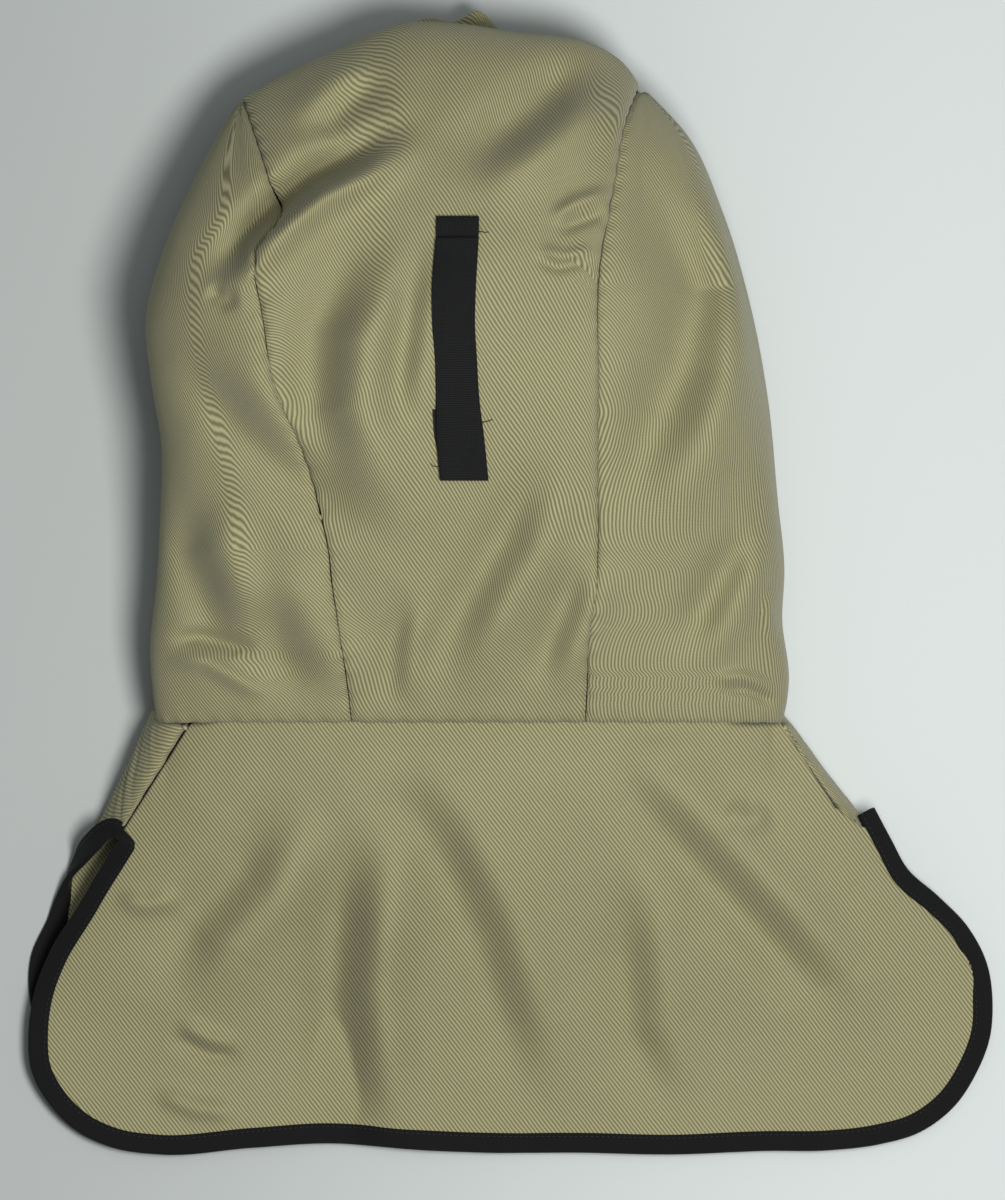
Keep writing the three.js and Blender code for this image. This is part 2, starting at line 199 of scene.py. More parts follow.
crown_edge = profile([[-0.424, 0.876], [-0.354, 0.91], [-0.26, 0.948], [-0.178, 0.979], [-0.083, 0.98],
                      [0.017, 0.967], [0.058, 0.964], [0.111, 0.957], [0.152, 0.942], [0.183, 0.92],
                      [0.206, 0.891]])
side_height = profile([[0, 42], [0.25, 62], [0.5, 78], [1, 70]])
back_rise = profile([[0, 50], [0.25, 84], [0.5, 106], [1, 96]])
LEFT_CORNER = 0.876
RIGHT_CORNER = 0.891


def along(y):
    return (y - NECK_Y) / BODY_LENGTH


def fullness(x, y, roundness):
    """1 on the middle of the body, 0 on its plan outline."""
    share = along(y)
    left, right = BODY_WIDTH * left_side(share), BODY_WIDTH * right_side(share)
    across = np.clip(np.abs(x - (left + right) / 2) / ((right - left) / 2), 0, 1)
    crown = NECK_Y + BODY_LENGTH * crown_edge(x / BODY_WIDTH)
    up = np.clip((y - DOME_START) / (crown - DOME_START), 0, 1)
    return ((1 - across ** roundness) * (1 - up ** roundness)) ** (1 / roundness)


def plain_back(x, y):
    return side_height(along(y)) + back_rise(along(y)) * fullness(x, y, BACK_ROUNDNESS)


def smooth(t):
    t = np.clip(t, 0, 1)
    return t * t * (3 - 2 * t)


def along_line(x, y, line):
    """Signed distance from a line of plan points, and the share of its length passed."""
    line = np.array(line, float)
    best = np.full(np.shape(x), 1e9)
    signed = np.zeros(np.shape(x))
    passed = np.zeros(np.shape(x))
    lengths = np.linalg.norm(np.diff(line, axis=0), axis=1)
    total = lengths.sum()
    for i, (start, end) in enumerate(zip(line[:-1], line[1:])):
        run = (end - start) / lengths[i]
        dx, dy = x - start[0], y - start[1]
        t = np.clip(dx * run[0] + dy * run[1], 0, lengths[i])
        distance = np.hypot(dx - t * run[0], dy - t * run[1])
        nearer = distance < best
        side = np.where(run[0] * dy - run[1] * dx >= 0, 1, -1)
        best = np.where(nearer, distance, best)
        signed = np.where(nearer, side * distance, signed)
        passed = np.where(nearer, (lengths[:i].sum() + t) / total, passed)
    return signed, passed


def fold(x, y, width, height, line):
    """A soft fold: the cloth stands high on the left-hand side of the line and low on the other."""
    distance, passed = along_line(x, y, line)
    fade = smooth(passed * 2.6) * smooth((1 - passed) * 2.6)
    d = distance / width
    return height * fade * d * np.exp(0.5 - d * d / 2)


def crease(x, y, width, height, line):
    """A narrow ridge (or valley, where height is negative) that dies out at both ends."""
    distance, passed = along_line(x, y, line)
    fade = smooth(passed * 3) * smooth((1 - passed) * 3)
    return height * fade * np.exp(-(distance / width) ** 2)


# Folds of the back and sides, from [width, height, line]; each line runs down the hood.
FOLD_DEPTH = 2.9
BODY_FOLDS = [
    [8.5, 8.0, [(-50, 262), (-62, 250), (-84, 236), (-108, 224), (-128, 208), (-151, 182), (-174, 158)]],
    [15, 5.5, [(-58, 208), (-80, 172), (-95, 139), (-98, 98), (-88, 68), (-74, 35), (-66, 10)]],
    [13, 3.6, [(-182, 140), (-146, 100), (-118, 72), (-96, 50), (-80, 30)]],
    [17, 6.5, [(80, 262), (100, 212), (118, 168), (110, 122), (97, 88), (81, 59), (60, 14)]],
    [10, 3.2, [(140, 40), (128, 8), (112, -22), (96, -44)]],
    [12, 3.6, [(26, 78), (16, 50), (5, 23), (-15, -11), (-40, -66)]],
    [9, 2.6, [(46, 22), (40, -4), (28, -36), (18, -64)]],
    [13, 5.0, [(62, 302), (40, 280), (20, 260), (-6, 240), (-30, 218)]],
    [8, 2.4, [(-43, 200), (-50, 160), (-56, 115), (-56, 78)]],
    [12, 4.0, [(-168, 60), (-172, 20), (-158, -14), (-146, -48)]],
    [7, 1.8, [(-52, 0), (-60, -30), (-63, -72)]],
    [10, 3.0, [(-120, 250), (-112, 262), (-92, 280), (-70, 296)]],
    [14, 3.5, [(-150, 10), (-128, -14), (-112, -44), (-104, -70)]],
]
BODY_CREASES = [
    [3.0, -1.6, [(12, 184), (26, 178), (44, 182)]],
    [3.5, 1.7, [(14, 188), (30, 184), (48, 188)]],
    [4.0, 2.4, [(20, 204), (36, 214), (58, 222)]],
    [3.4, -1.8, [(24, 198), (40, 204), (56, 210)]],
    [3.5, 2.2, [(112, -52), (130, -50), (152, -58)]],
    [3.0, -2.2, [(116, -58), (134, -58), (154, -68)]],
    [4.5, 2.2, [(150, 0), (146, -14), (150, -30)]],
    [5.0, -3.0, [(-196, -30), (-176, -28), (-150, -34), (-146, -46)]],
    [5.0, 2.6, [(-196, -40), (-172, -42), (-150, -54), (-132, -62)]],
    [6.0, 2.4, [(-152, 184), (-138, 196), (-132, 206)]],
    [5.0, -2.5, [(-170, 168), (-160, 160), (-150, 162)]],
]


def softness(x, y, size, seed):
    """Slow uneven waves of hand-laid cloth."""
    flat = [noise.noise(Vector((a / size, b / size, seed))) for a, b in zip(np.ravel(x), np.ravel(y))]
    return np.reshape(flat, np.shape(x))


def body_folds(x, y):
    height = FOLD_DEPTH * sum(fold(x, y, *each) for each in BODY_FOLDS)
    height = height + FOLD_DEPTH * sum(crease(x, y, *each) for each in BODY_CREASES)
    return height + 2.2 * softness(x, y, 46, 1.3) + 0.7 * softness(x, y, 17, 7.1)


def grid_normals(points):
    du = np.gradient(points, axis=1)
    dv = np.gradient(points, axis=0)
    n = np.cross(du, dv)
    return n / np.maximum(np.linalg.norm(n, axis=2, keepdims=True), 1e-9)


def finer_at_ends(count, length, fine):
    """Shares from 0 to 1 whose steps grow from "fine" at both ends."""
    t = np.linspace(0, 1, count)
    even = smooth(t)
    blend = min(1.0, max(0.0, 1 - fine * count / length))
    return t * (1 - blend) + even * blend


def cloth_uv(points, turn):
    """Distances along and across the cloth in metres, turned so that the wales run along v."""
    across = np.linalg.norm(np.diff(points, axis=1), axis=2)
    up = np.linalg.norm(np.diff(points, axis=0), axis=2)
    middle = points.shape[1] // 2
    u = np.concatenate([np.zeros((points.shape[0], 1)), np.cumsum(across, axis=1)], axis=1)
    u = u - u[:, middle:middle + 1] + points[:, middle, 0][:, None]
    v = np.concatenate([np.zeros((1, points.shape[1])), np.cumsum(up, axis=0)], axis=0)
    a = math.radians(turn)
    return np.stack([u * math.cos(a) + v * math.sin(a), v * math.cos(a) - u * math.sin(a)], axis=2) * MM


def write_weave(mesh, uv):
    """Gives a mesh its place on the cloth, from one place for each vertex."""
    layer = mesh.uv_layers.new(name="weave")
    corner = np.empty(len(mesh.loops), dtype=np.int32)
    mesh.loops.foreach_get("vertex_index", corner)
    layer.data.foreach_set("uv", uv[corner].ravel())


def cloth_mesh(name, points, uv, thickness, outside=True, drop=None):
    """A grid of points in millimetres becomes a closed skin with its outer face on the points."""
    rows, cols = points.shape[:2]
    index = np.arange(rows * cols).reshape(rows, cols)
    faces = []
    for i in range(rows - 1):
        for j in range(cols - 1):
            if drop is not None and drop[i:i + 2, j:j + 2].all():
                continue
            quad = (index[i, j], index[i, j + 1], index[i + 1, j + 1], index[i + 1, j])
            faces.append(quad if outside else quad[::-1])
    mesh = bpy.data.meshes.new(name)
    mesh.from_pydata((points.reshape(-1, 3) * MM).tolist(), [], [tuple(map(int, f)) for f in faces])
    write_weave(mesh, uv.reshape(-1, 2))
    raw = bpy.data.objects.new(name + "_raw", mesh)
    bpy.context.collection.objects.link(raw)
    edit = bmesh.new()
    edit.from_mesh(mesh)
    loose = [v for v in edit.verts if not v.link_faces]
    bmesh.ops.delete(edit, geom=loose, context="VERTS")
    edit.to_mesh(mesh)
    edit.free()
    thick = raw.modifiers.new("ply", "SOLIDIFY")
    thick.thickness = thickness * MM
    thick.offset = -1
    return plain_copy(raw, name)


def plain_copy(raw, name):
    """The finished mesh of an object with its modifiers, as a new plain object."""
    bpy.context.view_layer.update()
    ready = raw.evaluated_get(bpy.context.evaluated_depsgraph_get())
    mesh = bpy.data.meshes.new_from_object(ready)
    mesh.name = name
    piece = bpy.data.objects.new(name, mesh)
    bpy.context.collection.objects.link(piece)
    old = raw.data
    bpy.data.objects.remove(raw)
    if old.users == 0:
        (bpy.data.meshes if isinstance(old, bpy.types.Mesh) else bpy.data.curves).remove(old)
    mesh.polygons.foreach_set("use_smooth", [True] * len(mesh.polygons))
    mesh.update()
    return piece


# Khaki twill: steep wales of floating yarns 1.9 mm apart, faded unevenly with wear, with painted shade
# darkening the grooves between the wales.
WALE = 1.9
# The first colour is that of the wale tops; the second is painted shade for the grooves between the wales.
TWILL_LIGHT = (0.475, 0.451, 0.263)
TWILL_GROOVE_SHADE = (0.118, 0.109, 0.040)


def math_node(tree, operation, first, second=None):
    node = tree.nodes.new("ShaderNodeMath")
    node.operation = operation
    for slot, value in enumerate((first, second)):
        if isinstance(value, (int, float)):
            node.inputs[slot].default_value = value
        elif value is not None:
            tree.links.new(value, node.inputs[slot])
    return node.outputs[0]


def noise_node(tree, vector, scale, detail):
    node = tree.nodes.new("ShaderNodeTexNoise")
    set_inputs(node, {"Scale": scale, "Detail": detail})
    tree.links.new(vector, node.inputs["Vector"])
    return node.outputs["Fac"]


def mix_colour(tree, share, first, second, blend="MIX"):
    node = tree.nodes.new("ShaderNodeMix")
    node.data_type = "RGBA"
    node.blend_type = blend
    for socket, value in ((node.inputs[0], share), (node.inputs[6], first), (node.inputs[7], second)):
        if isinstance(value, (int, float)):
            socket.default_value = value
        elif isinstance(value, tuple):
            socket.default_value = (*value, 1)
        else:
            tree.links.new(value, socket)
    return node.outputs[2]


def object_place(tree):
    return tree.nodes.new("ShaderNodeTexCoord").outputs["Object"]


def weave_place(tree):
    """A cloth's own flat place: both runs together, then across the yarns, then along them."""
    weave = tree.nodes.new("ShaderNodeUVMap")
    weave.uv_map = "weave"
    parts = tree.nodes.new("ShaderNodeSeparateXYZ")
    wire(tree, (weave, "UV", parts, 0))
    return weave.outputs["UV"], parts.outputs["X"], parts.outputs["Y"]


def yarn_angle(tree, run, pitch):
    """Angle of a pattern that comes round once in every pitch millimetres of a run."""
    return math_node(tree, "MULTIPLY", run, 2 * math.pi / (pitch * MM))


def raise_surface(tree, height, strength, depth):
    """Bumps the surface by a height pattern. The depth is in millimetres."""
    bump = tree.nodes.new("ShaderNodeBump")
    set_inputs(bump, {"Strength": strength, "Distance": depth * MM})
    tree.links.new(height, bump.inputs["Height"])
    feed_surface(tree, "Normal", bump.outputs["Normal"])


def twill_material():
    material = plain_material("khaki_twill", TWILL_LIGHT, 0.82)
    tree = material.node_tree
    set_inputs(tree.nodes["Principled BSDF"],
               {"Sheen Weight": 0.18, "Sheen Roughness": 0.45, "Specular IOR Level": 0.25})
    flat, across, along = weave_place(tree)
    place = object_place(tree)
    wander = math_node(tree, "MULTIPLY", noise_node(tree, flat, 90, 2), 2.6)
    phase = yarn_angle(tree, across, WALE)
    phase = math_node(tree, "ADD", phase, wander)
    wale = math_node(tree, "MULTIPLY_ADD", math_node(tree, "COSINE", phase), 0.5)
    wale.node.inputs[2].default_value = 0.5
    floats = yarn_angle(tree, along, 0.95)
    floats = math_node(tree, "SINE", math_node(tree, "ADD", floats, math_node(tree, "MULTIPLY", phase, 0.5)))
    fibre = noise_node(tree, flat, 2600, 3)
    lifted = math_node(tree, "ADD", wale, math_node(tree, "MULTIPLY", floats, 0.16))
    lifted = math_node(tree, "ADD", lifted, math_node(tree, "MULTIPLY", fibre, 0.5))
    raise_surface(tree, lifted, 0.75, 0.22)
    # The colour follows the wales' height: the low grooves get the dark colour, which is painted shade.
    tone = math_node(tree, "MULTIPLY_ADD", floats, 0.10)
    tree.links.new(wale, tone.node.inputs[2])
    groove_shaded_yarn = mix_colour(tree, tone, TWILL_GROOVE_SHADE, TWILL_LIGHT)
    patch = noise_node(tree, place, 9, 4)
    # Random lighter wear patches laid over the colour that holds the painted groove shade.
    wear_and_groove_shade = mix_colour(tree, math_node(tree, "MULTIPLY", patch, 0.28), groove_shaded_yarn, (0.42, 0.40, 0.24))
    slub = noise_node(tree, place, 420, 2)
    flecked = mix_colour(tree, math_node(tree, "MULTIPLY", slub, 0.22), wear_and_groove_shade, (0.20, 0.19, 0.10))
    feed_surface(tree, "Base Color", flecked)
    rough = math_node(tree, "MULTIPLY_ADD", fibre, 0.2)
    rough.node.inputs[2].default_value = 0.74
    feed_surface(tree, "Roughness", rough)
    return material


TWILL = twill_material()

# ---- Back panel: the strip from the neck seam over the back of the head to the crown ----
# One long piece of twill between the two side panels, its edges turned in at every seam.

PLY = 1.9
SEAM_GAP = 0.35
TURN_IN = 4.0


def seam_dip(distance, run):
    """How far the cloth dips beside a seam, with the small puckers that the thread pulls in."""
    pucker = 0.55 * np.sin(run * 2 * np.pi / 13) * np.exp(-(distance / 5) ** 2)
    return 1.5 * np.exp(-(distance / 1.7) ** 2) + 0.9 * np.exp(-(distance / 6) ** 2) + pucker


def turned_edges(points, normals, left, right, bottom, top):
    """Adds a turned-in strip beyond each sewn edge of a grid."""
    if bottom:
        points = np.concatenate([points[:1] - normals[:1] * TURN_IN, points], axis=0)
        normals = np.concatenate([normals[:1], normals], axis=0)
    if top:
        points = np.concatenate([points, points[-1:] - normals[-1:] * TURN_IN], axis=0)
        normals = np.concatenate([normals, normals[-1:]], axis=0)
    if left:
        points = np.concatenate([points[:, :1] - normals[:, :1] * TURN_IN, points], axis=1)
        normals = np.concatenate([normals[:, :1], normals], axis=1)
    if right:
        points = np.concatenate([points, points[:, -1:] - normals[:, -1:] * TURN_IN], axis=1)
        normals = np.concatenate([normals, normals[:, -1:]], axis=1)
    return points


def distance_to_edges(points, left, right, bottom, top):
    """Distance along the cloth to the nearest sewn edge, and how far along that edge."""
    across = np.linalg.norm(np.diff(points, axis=1), axis=2)
    up = np.linalg.norm(np.diff(points, axis=0), axis=2)
    u = np.concatenate([np.zeros((points.shape[0], 1)), np.cumsum(across, axis=1)], axis=1)
    v = np.concatenate([np.zeros((1, points.shape[1])), np.cumsum(up, axis=0)], axis=0)
    far = np.full(u.shape, 1e3)
    options = [(left, u, v), (right, u[:, -1:] - u, v), (bottom, v, u), (top, v[-1:] - v, u)]
    run = np.zeros(u.shape)
    for used, distance, beside in options:
        if used:
            nearer = distance < far
            far = np.where(nearer, distance, far)
            run = np.where(nearer, beside, run)
    return far, run


def sewn_panel(name, points, nodes, turn, outside=True, drop=None, edges=(True, True, True, True)):
    """Sinks the seams of a shaped grid, turns its edges in, hangs it on the root body and hides its nodes' parts.
    """
    normals = grid_normals(points) * (1 if outside else -1)
    distance, run = distance_to_edges(points, *edges)
    sunk = points - normals * seam_dip(distance, run)[:, :, None]
    ready = turned_edges(sunk, normals, *edges)
    if drop is not None:
        pads = ((int(edges[2]), int(edges[3])), (int(edges[0]), int(edges[1])))
        drop = np.pad(drop, pads, mode="edge")
    panel = cloth_mesh(name, ready, cloth_uv(ready, turn), PLY, outside, drop)
    panel.data.materials.append(TWILL)
    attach(panel, "root")
    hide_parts(*nodes)
    return panel


def corner_y(corner):
    return NECK_Y + BODY_LENGTH * corner


def back_surface(x, y):
    facing = smooth(fullness(x, y, BACK_ROUNDNESS) * 1.7)
    return plain_back(x, y) + body_folds(x, y) * facing


def back_panel():
    u = finer_at_ends(120, 200, 0.8)[None, :]
    v = 1 - (1 - np.linspace(0, 1, 200)[:, None]) ** 1.5
    left_y = NECK_Y + v * (corner_y(LEFT_CORNER) - NECK_Y)
    right_y = NECK_Y + v * (corner_y(RIGHT_CORNER) - NECK_Y)
    left_x = BODY_WIDTH * left_seam(along(left_y)) + SEAM_GAP
    right_x = BODY_WIDTH * right_seam(along(right_y)) - SEAM_GAP
    top_x = left_x[-1] * (1 - u) + right_x[-1] * u
    x = left_x * (1 - u) + right_x * u
    y = NECK_Y + v * (BODY_LENGTH * crown_edge(top_x / BODY_WIDTH)) + 0 * x
    z = np.maximum(back_surface(x, y), side_height(along(y)) + 0.4)
    return sewn_panel("back_panel_cloth", np.stack([x, y, z], axis=2), ["back_panel"], 30)


back_panel()

# ---- Side panels: two D-shaped pieces from the back seams round the cheeks to the face ----
# Each wraps round the side of the head, with its straight edge in the back seam and its other
# edges in the face seam and the neck seam.

WINDOW = [(low("veil_casing", axis) + high("veil_casing", axis)) / 2 for axis in (0, 1)]
WINDOW_HALF = [(high("veil_casing", axis) - low("veil_casing", axis)) / 2 for axis in (0, 1)]
WINDOW_CORNER = 58.0
CLOTH_UNDER_CASING = 7.0


def in_window(x, y, inset):
    """True inside the rounded window, drawn in from the casing's outer edge."""
    radius = WINDOW_CORNER - inset
    dx = np.abs(x - WINDOW[0]) - (WINDOW_HALF[0] - inset - radius)
    dy = np.abs(y - WINDOW[1]) - (WINDOW_HALF[1] - inset - radius)
    return np.hypot(np.maximum(dx, 0), np.maximum(dy, 0)) < radius


def face_seam_x(y, side, corner, corner_share):
    straight = WINDOW[0] + side * 0.64 * WINDOW_HALF[0]
    start = WINDOW[1] + 0.64 * WINDOW_HALF[1]
    t = np.clip((y - start) / (corner_y(corner) - start), 0, 1)
    return straight * (1 - t) + BODY_WIDTH * corner_share * t


def plain_face(x, y):
    side = side_height(along(y))
    return side - (side - FACE_HEIGHT) * fullness(x, y, FACE_ROUNDNESS)


def section(turn, y):
    """Points at an angle round the section at y: 0 right, pi / 2 back, pi left, below 0 the face."""
    share = along(y)
    left, right = BODY_WIDTH * left_side(share), BODY_WIDTH * right_side(share)
    back = np.sin(turn) >= 0
    reach = np.abs(np.cos(turn))
    reach = np.where(back, reach ** (2 / BACK_ROUNDNESS), reach ** (2 / FACE_ROUNDNESS))
    reach = np.sign(np.cos(turn)) * reach
    x = (left + right) / 2 + (right - left) / 2 * reach
    y = y + 0 * x
    z = np.where(back, back_surface(x, y), plain_face(x, y))
    return np.stack([x, y, z], axis=2)


def turn_at(x, y, roundness):
    share = along(y)
    left, right = BODY_WIDTH * left_side(share), BODY_WIDTH * right_side(share)
    reach = np.clip((x - (left + right) / 2) / ((right - left) / 2), -1, 1)
    return np.arccos(np.sign(reach) * np.abs(reach) ** (roundness / 2))


def side_panel(name, side, node, turn, seam, corner):
    v = np.linspace(0, 1, 190)[:, None]
    u = finer_at_ends(150, 260, 0.8)[None, :]
    y = NECK_Y + v * (corner_y(corner) - 1.5 - NECK_Y)
    back_x = BODY_WIDTH * seam(along(y)) + side * SEAM_GAP
    corner_share = float(seam(corner))
    face_x = face_seam_x(y, side, corner, corner_share) + side * SEAM_GAP
    back_turn = turn_at(back_x, y, BACK_ROUNDNESS)
    face_turn = turn_at(face_x, y, FACE_ROUNDNESS)
    if side > 0:
        points = section(back_turn * (1 - u) - face_turn * u, y)
    else:
        points = section((2 * np.pi - face_turn) * (1 - u) + back_turn * u, y)
    inside = in_window(points[:, :, 0], points[:, :, 1], CLOTH_UNDER_CASING)
    drop = inside & (points[:, :, 2] < FACE_HEIGHT + 20)
    return sewn_panel(name, points, [node], turn, drop=drop)


side_panel("left_side_cloth", -1, "left_side_panel", 28, left_seam, LEFT_CORNER)
side_panel("right_side_cloth", 1, "right_side_panel", 20, right_seam, RIGHT_CORNER)

# ---- Brow and chin panels: the strips over and under the face window ----
# The brow panel carries on over the crown edge from the back panel, and a pinch of it stands up
# behind the edge. The chin panel closes the face side down to the neck.


def face_relief(x, y):
    facing = smooth((side_height(along(y)) - plain_face(x, y)) / 40)
    return 1.2 * softness(x, y, 30, 4.2) * (1 - facing)


FACE_TURN = -27


def brow_panel():
    v = 1 - (1 - np.linspace(0, 1, 110)[:, None]) ** 2
    u = finer_at_ends(110, 200, 0.8)[None, :]
    foot = WINDOW[1] + 0.4 * WINDOW_HALF[1]
    left_share, right_share = float(left_seam(LEFT_CORNER)), float(right_seam(RIGHT_CORNER))
    left_y = foot + v * (corner_y(LEFT_CORNER) - foot)
    right_y = foot + v * (corner_y(RIGHT_CORNER) - foot)
    left_x = face_seam_x(left_y, -1, LEFT_CORNER, left_share) + SEAM_GAP
    right_x = face_seam_x(right_y, 1, RIGHT_CORNER, right_share) - SEAM_GAP
    top_x = left_x[-1] * (1 - u) + right_x[-1] * u
    x = left_x * (1 - u) + right_x * u
    pinch = 8.5 * np.exp(-((top_x + 18) / 11) ** 2) + 4.5 * np.exp(-((top_x + 46) / 16) ** 2)
    crown = NECK_Y + BODY_LENGTH * crown_edge(top_x / BODY_WIDTH)
    y = foot + v * (crown - foot) + 0 * x
    rim = 1.5 * smooth((v - 0.45) / 0.4) * smooth((1 - v) / 0.018)
    y_out = y + pinch * rim
    z = np.minimum(plain_face(x, y), side_height(along(y)) - 0.4) + face_relief(x, y)
    z = z + 4 * rim * np.exp(-((top_x + 18) / 12) ** 2)
    points = np.stack([x, y_out, z], axis=2)
    drop = in_window(x, y, CLOTH_UNDER_CASING)
    return sewn_panel("brow_panel_cloth", points, ["brow_panel"], FACE_TURN, outside=False, drop=drop)


def chin_panel():
    v = np.linspace(0, 1, 40)[:, None]
    u = finer_at_ends(90, 150, 0.8)[None, :]
    left_x = face_seam_x(np.array([[0.0]]), -1, LEFT_CORNER, 0) + SEAM_GAP
    right_x = face_seam_x(np.array([[0.0]]), 1, RIGHT_CORNER, 0) - SEAM_GAP
    x = left_x * (1 - u) + right_x * u + 0 * v
    y = NECK_Y + v * (WINDOW[1] - 0.6 * WINDOW_HALF[1] - NECK_Y) + 0 * x
    points = np.stack([x, y, plain_face(x, y)], axis=2)
    drop = in_window(x, y, CLOTH_UNDER_CASING)
    edges = (True, True, True, False)
    return sewn_panel("chin_panel_cloth", points, ["chin_panel"], FACE_TURN, outside=False, drop=drop, edges=edges)


brow_panel()
chin_panel()

# ---- Bibs: one shaped piece of twill over the back of the shoulders, one over the chest ----
# The back bib hangs from the neck seam and lies down over the front one. Both are cut to a bell
# with round lobes, and their open edges are bound.

BIB_SPAN = high("back_binding", 0) - low("back_binding", 0)
BIB_DROP = NECK_Y - low("back_binding", 1)
HEM_RISE = 14.0
BIB_RISE = 90.0
BIB_FALL = 230.0
BIB_CENTRE = -10.0
TAPE_WIDTH = 12.0
TUCK = 7.0
BIB_PLY = 1.6
BIB_TURN = 36
CLOTH_INSET = 1.6
TAPE_INSET = 1.4
LOBE_RISE = 24

# Open edges from right to left: share of half the span against share of the drop.
BACK_EDGE = [[0.753, 0.19], [0.789, 0.264], [0.822, 0.329], [0.887, 0.393], [0.949, 0.464],
             [0.989, 0.552], [1, 0.639], [0.996, 0.71], [0.967, 0.798], [0.92, 0.877], [0.847, 0.937],
             [0.764, 0.964], [0.66, 0.978], [0.524, 0.98], [0.335, 0.988], [0.15, 0.984], [-0.04, 0.984],
             [-0.207, 0.976], [-0.375, 0.962], [-0.531, 0.972], [-0.727, 0.988], [-0.825, 0.972],
             [-0.895, 0.937], [-0.953, 0.877], [-0.993, 0.798], [-1, 0.702], [-0.989, 0.619],
             [-0.953, 0.516], [-0.896, 0.415], [-0.85, 0.33], [-0.81, 0.262]]
FRONT_EDGE = [[0.745, 0.27], [0.785, 0.33], [0.86, 0.4], [0.93, 0.5], [0.965, 0.6], [0.96, 0.7],
              [0.92, 0.79], [0.84, 0.86], [0.7, 0.9], [0.4, 0.92], [0, 0.925], [-0.4, 0.92],
              [-0.7, 0.915], [-0.85, 0.885], [-0.94, 0.8], [-0.985, 0.7], [-1, 0.62], [-0.995, 0.53],
              [-0.962, 0.449]]

# Folds of the back bib, in the same terms as the body's.
BIB_FOLDS = [
    [15, 6.0, [(-78, -120), (-84, -180), (-88, -230), (-84, -275), (-74, -330)]],
    [14, 3.6, [(-66, -80), (-50, -115), (-33, -141), (-8, -196), (8, -250), (22, -312)]],
    [13, 3.8, [(52, -80), (78, -114), (104, -141), (131, -168), (158, -196), (185, -226), (190, -264)]],
    [12, 2.4, [(66, -150), (74, -196), (78, -250), (100, -305)]],
    [15, 3.6, [(-118, -116), (-143, -168), (-170, -198), (-190, -244)]],
]
BIB_CREASES = [
    [5, 2.0, [(-192, -246), (-172, -256), (-152, -262)]],
    [5, -2.0, [(-196, -254), (-172, -266), (-150, -268)]],
    [6, 2.2, [(-206, -286), (-180, -296), (-150, -300)]],
    [6, 2.0, [(-226, -176), (-206, -180), (-184, -176)]],
    [8, 2.6, [(118, -124), (134, -132), (150, -128)]],
]


def edge_line(shares, count):
    """A smooth plan line through the edge's points, evenly spaced."""
    points = np.array([[a * BIB_SPAN / 2, NECK_Y - b * BIB_DROP] for a, b in shares])
    steps = np.concatenate([[0], np.cumsum(np.linalg.norm(np.diff(points, axis=0), axis=1))])
    x_of = profile(np.stack([steps, points[:, 0]], axis=1))
    y_of = profile(np.stack([steps, points[:, 1]], axis=1))
    t = np.linspace(0, steps[-1], count)
    return np.stack([x_of(t), y_of(t)], axis=1)


def hood_foot(x):
    """Height of the body's back at the neck seam."""
    left, right = BODY_WIDTH * left_side(0), BODY_WIDTH * right_side(0)
    reach = np.clip(np.abs(x - (left + right) / 2) / ((right - left) / 2), 0, 0.965)
    return side_height(0) + back_rise(0) * (1 - reach ** BACK_ROUNDNESS) ** (1 / BACK_ROUNDNESS)


def bib_height(x, y):
    t = np.clip((NECK_Y - y) / BIB_FALL, 0, 1)
    half = BIB_SPAN * (0.436 + 0.109 * t)
    arch = np.maximum(0, 1 - np.abs((x - BIB_CENTRE) / half) ** 3)
    fall = HEM_RISE + (BIB_RISE - HEM_RISE) * (1 - smooth(t)) * arch
    near = 1 - smooth((NECK_Y - y) / 46)
    sewn = hood_foot(x) - 5.2 - 16 * smooth((y - NECK_Y + 1) / 3) * smooth((np.abs(x + 22) - 140) / 25)
    folds = FOLD_DEPTH * sum(fold(x, y, *each) for each in BIB_FOLDS)
    folds = folds + FOLD_DEPTH * sum(crease(x, y, *each) for each in BIB_CREASES)
    folds = folds + 2.6 * softness(x, y, 52, 9.4) + 0.6 * softness(x, y, 18, 3.3)
    calm = smooth((NECK_Y - y) / 14)
    return np.maximum(fall * (1 - near) + sewn * near + folds * calm, HEM_RISE - 5)


def blend_sides(top, bottom, left, right):
    """Fills a four-sided patch between its edge lines, which meet at the corners."""
    u = np.linspace(0, 1, len(top))[None, :, None]
    v = np.linspace(0, 1, len(left))[:, None, None]
    rows = top[None, :, :] * (1 - v) + bottom[None, :, :] * v
    columns = left[:, None, :] * (1 - u) + right[:, None, :] * u
    corners = (top[0] * (1 - u) + top[-1] * u) * (1 - v) + (bottom[0] * (1 - u) + bottom[-1] * u) * v
    return rows + columns - corners


def resampled(line, count):
    steps = np.concatenate([[0], np.cumsum(np.linalg.norm(np.diff(line, axis=0), axis=1))])
    t = np.linspace(0, steps[-1], count)
    return np.stack([np.interp(t, steps, line[:, axis]) for axis in range(line.shape[1])], axis=1)


def bib_plan(edge, left_top, right_top, across, down, tuck):
    """Plan grid of a bib: rows run from its left to its right, from the neck to the hem."""
    rise = edge[:, 1] - edge[:, 1].min() - LOBE_RISE
    split_right = int(np.argmin(np.hypot(edge[:, 0] - 0.91 * BIB_SPAN / 2, rise)))
    split_left = int(np.argmin(np.hypot(edge[:, 0] + 0.94 * BIB_SPAN / 2, rise)))
    neck = np.stack([np.linspace(left_top, right_top, across), np.full(across, NECK_Y + tuck)], axis=1)
    right = resampled(np.concatenate([[neck[-1]], edge[:split_right + 1]]), down)
    left = resampled(np.concatenate([[neck[0]], edge[split_left:][::-1]]), down)
    hem = resampled(edge[split_right:split_left + 1][::-1], across)
    return blend_sides(neck, hem, left, right)


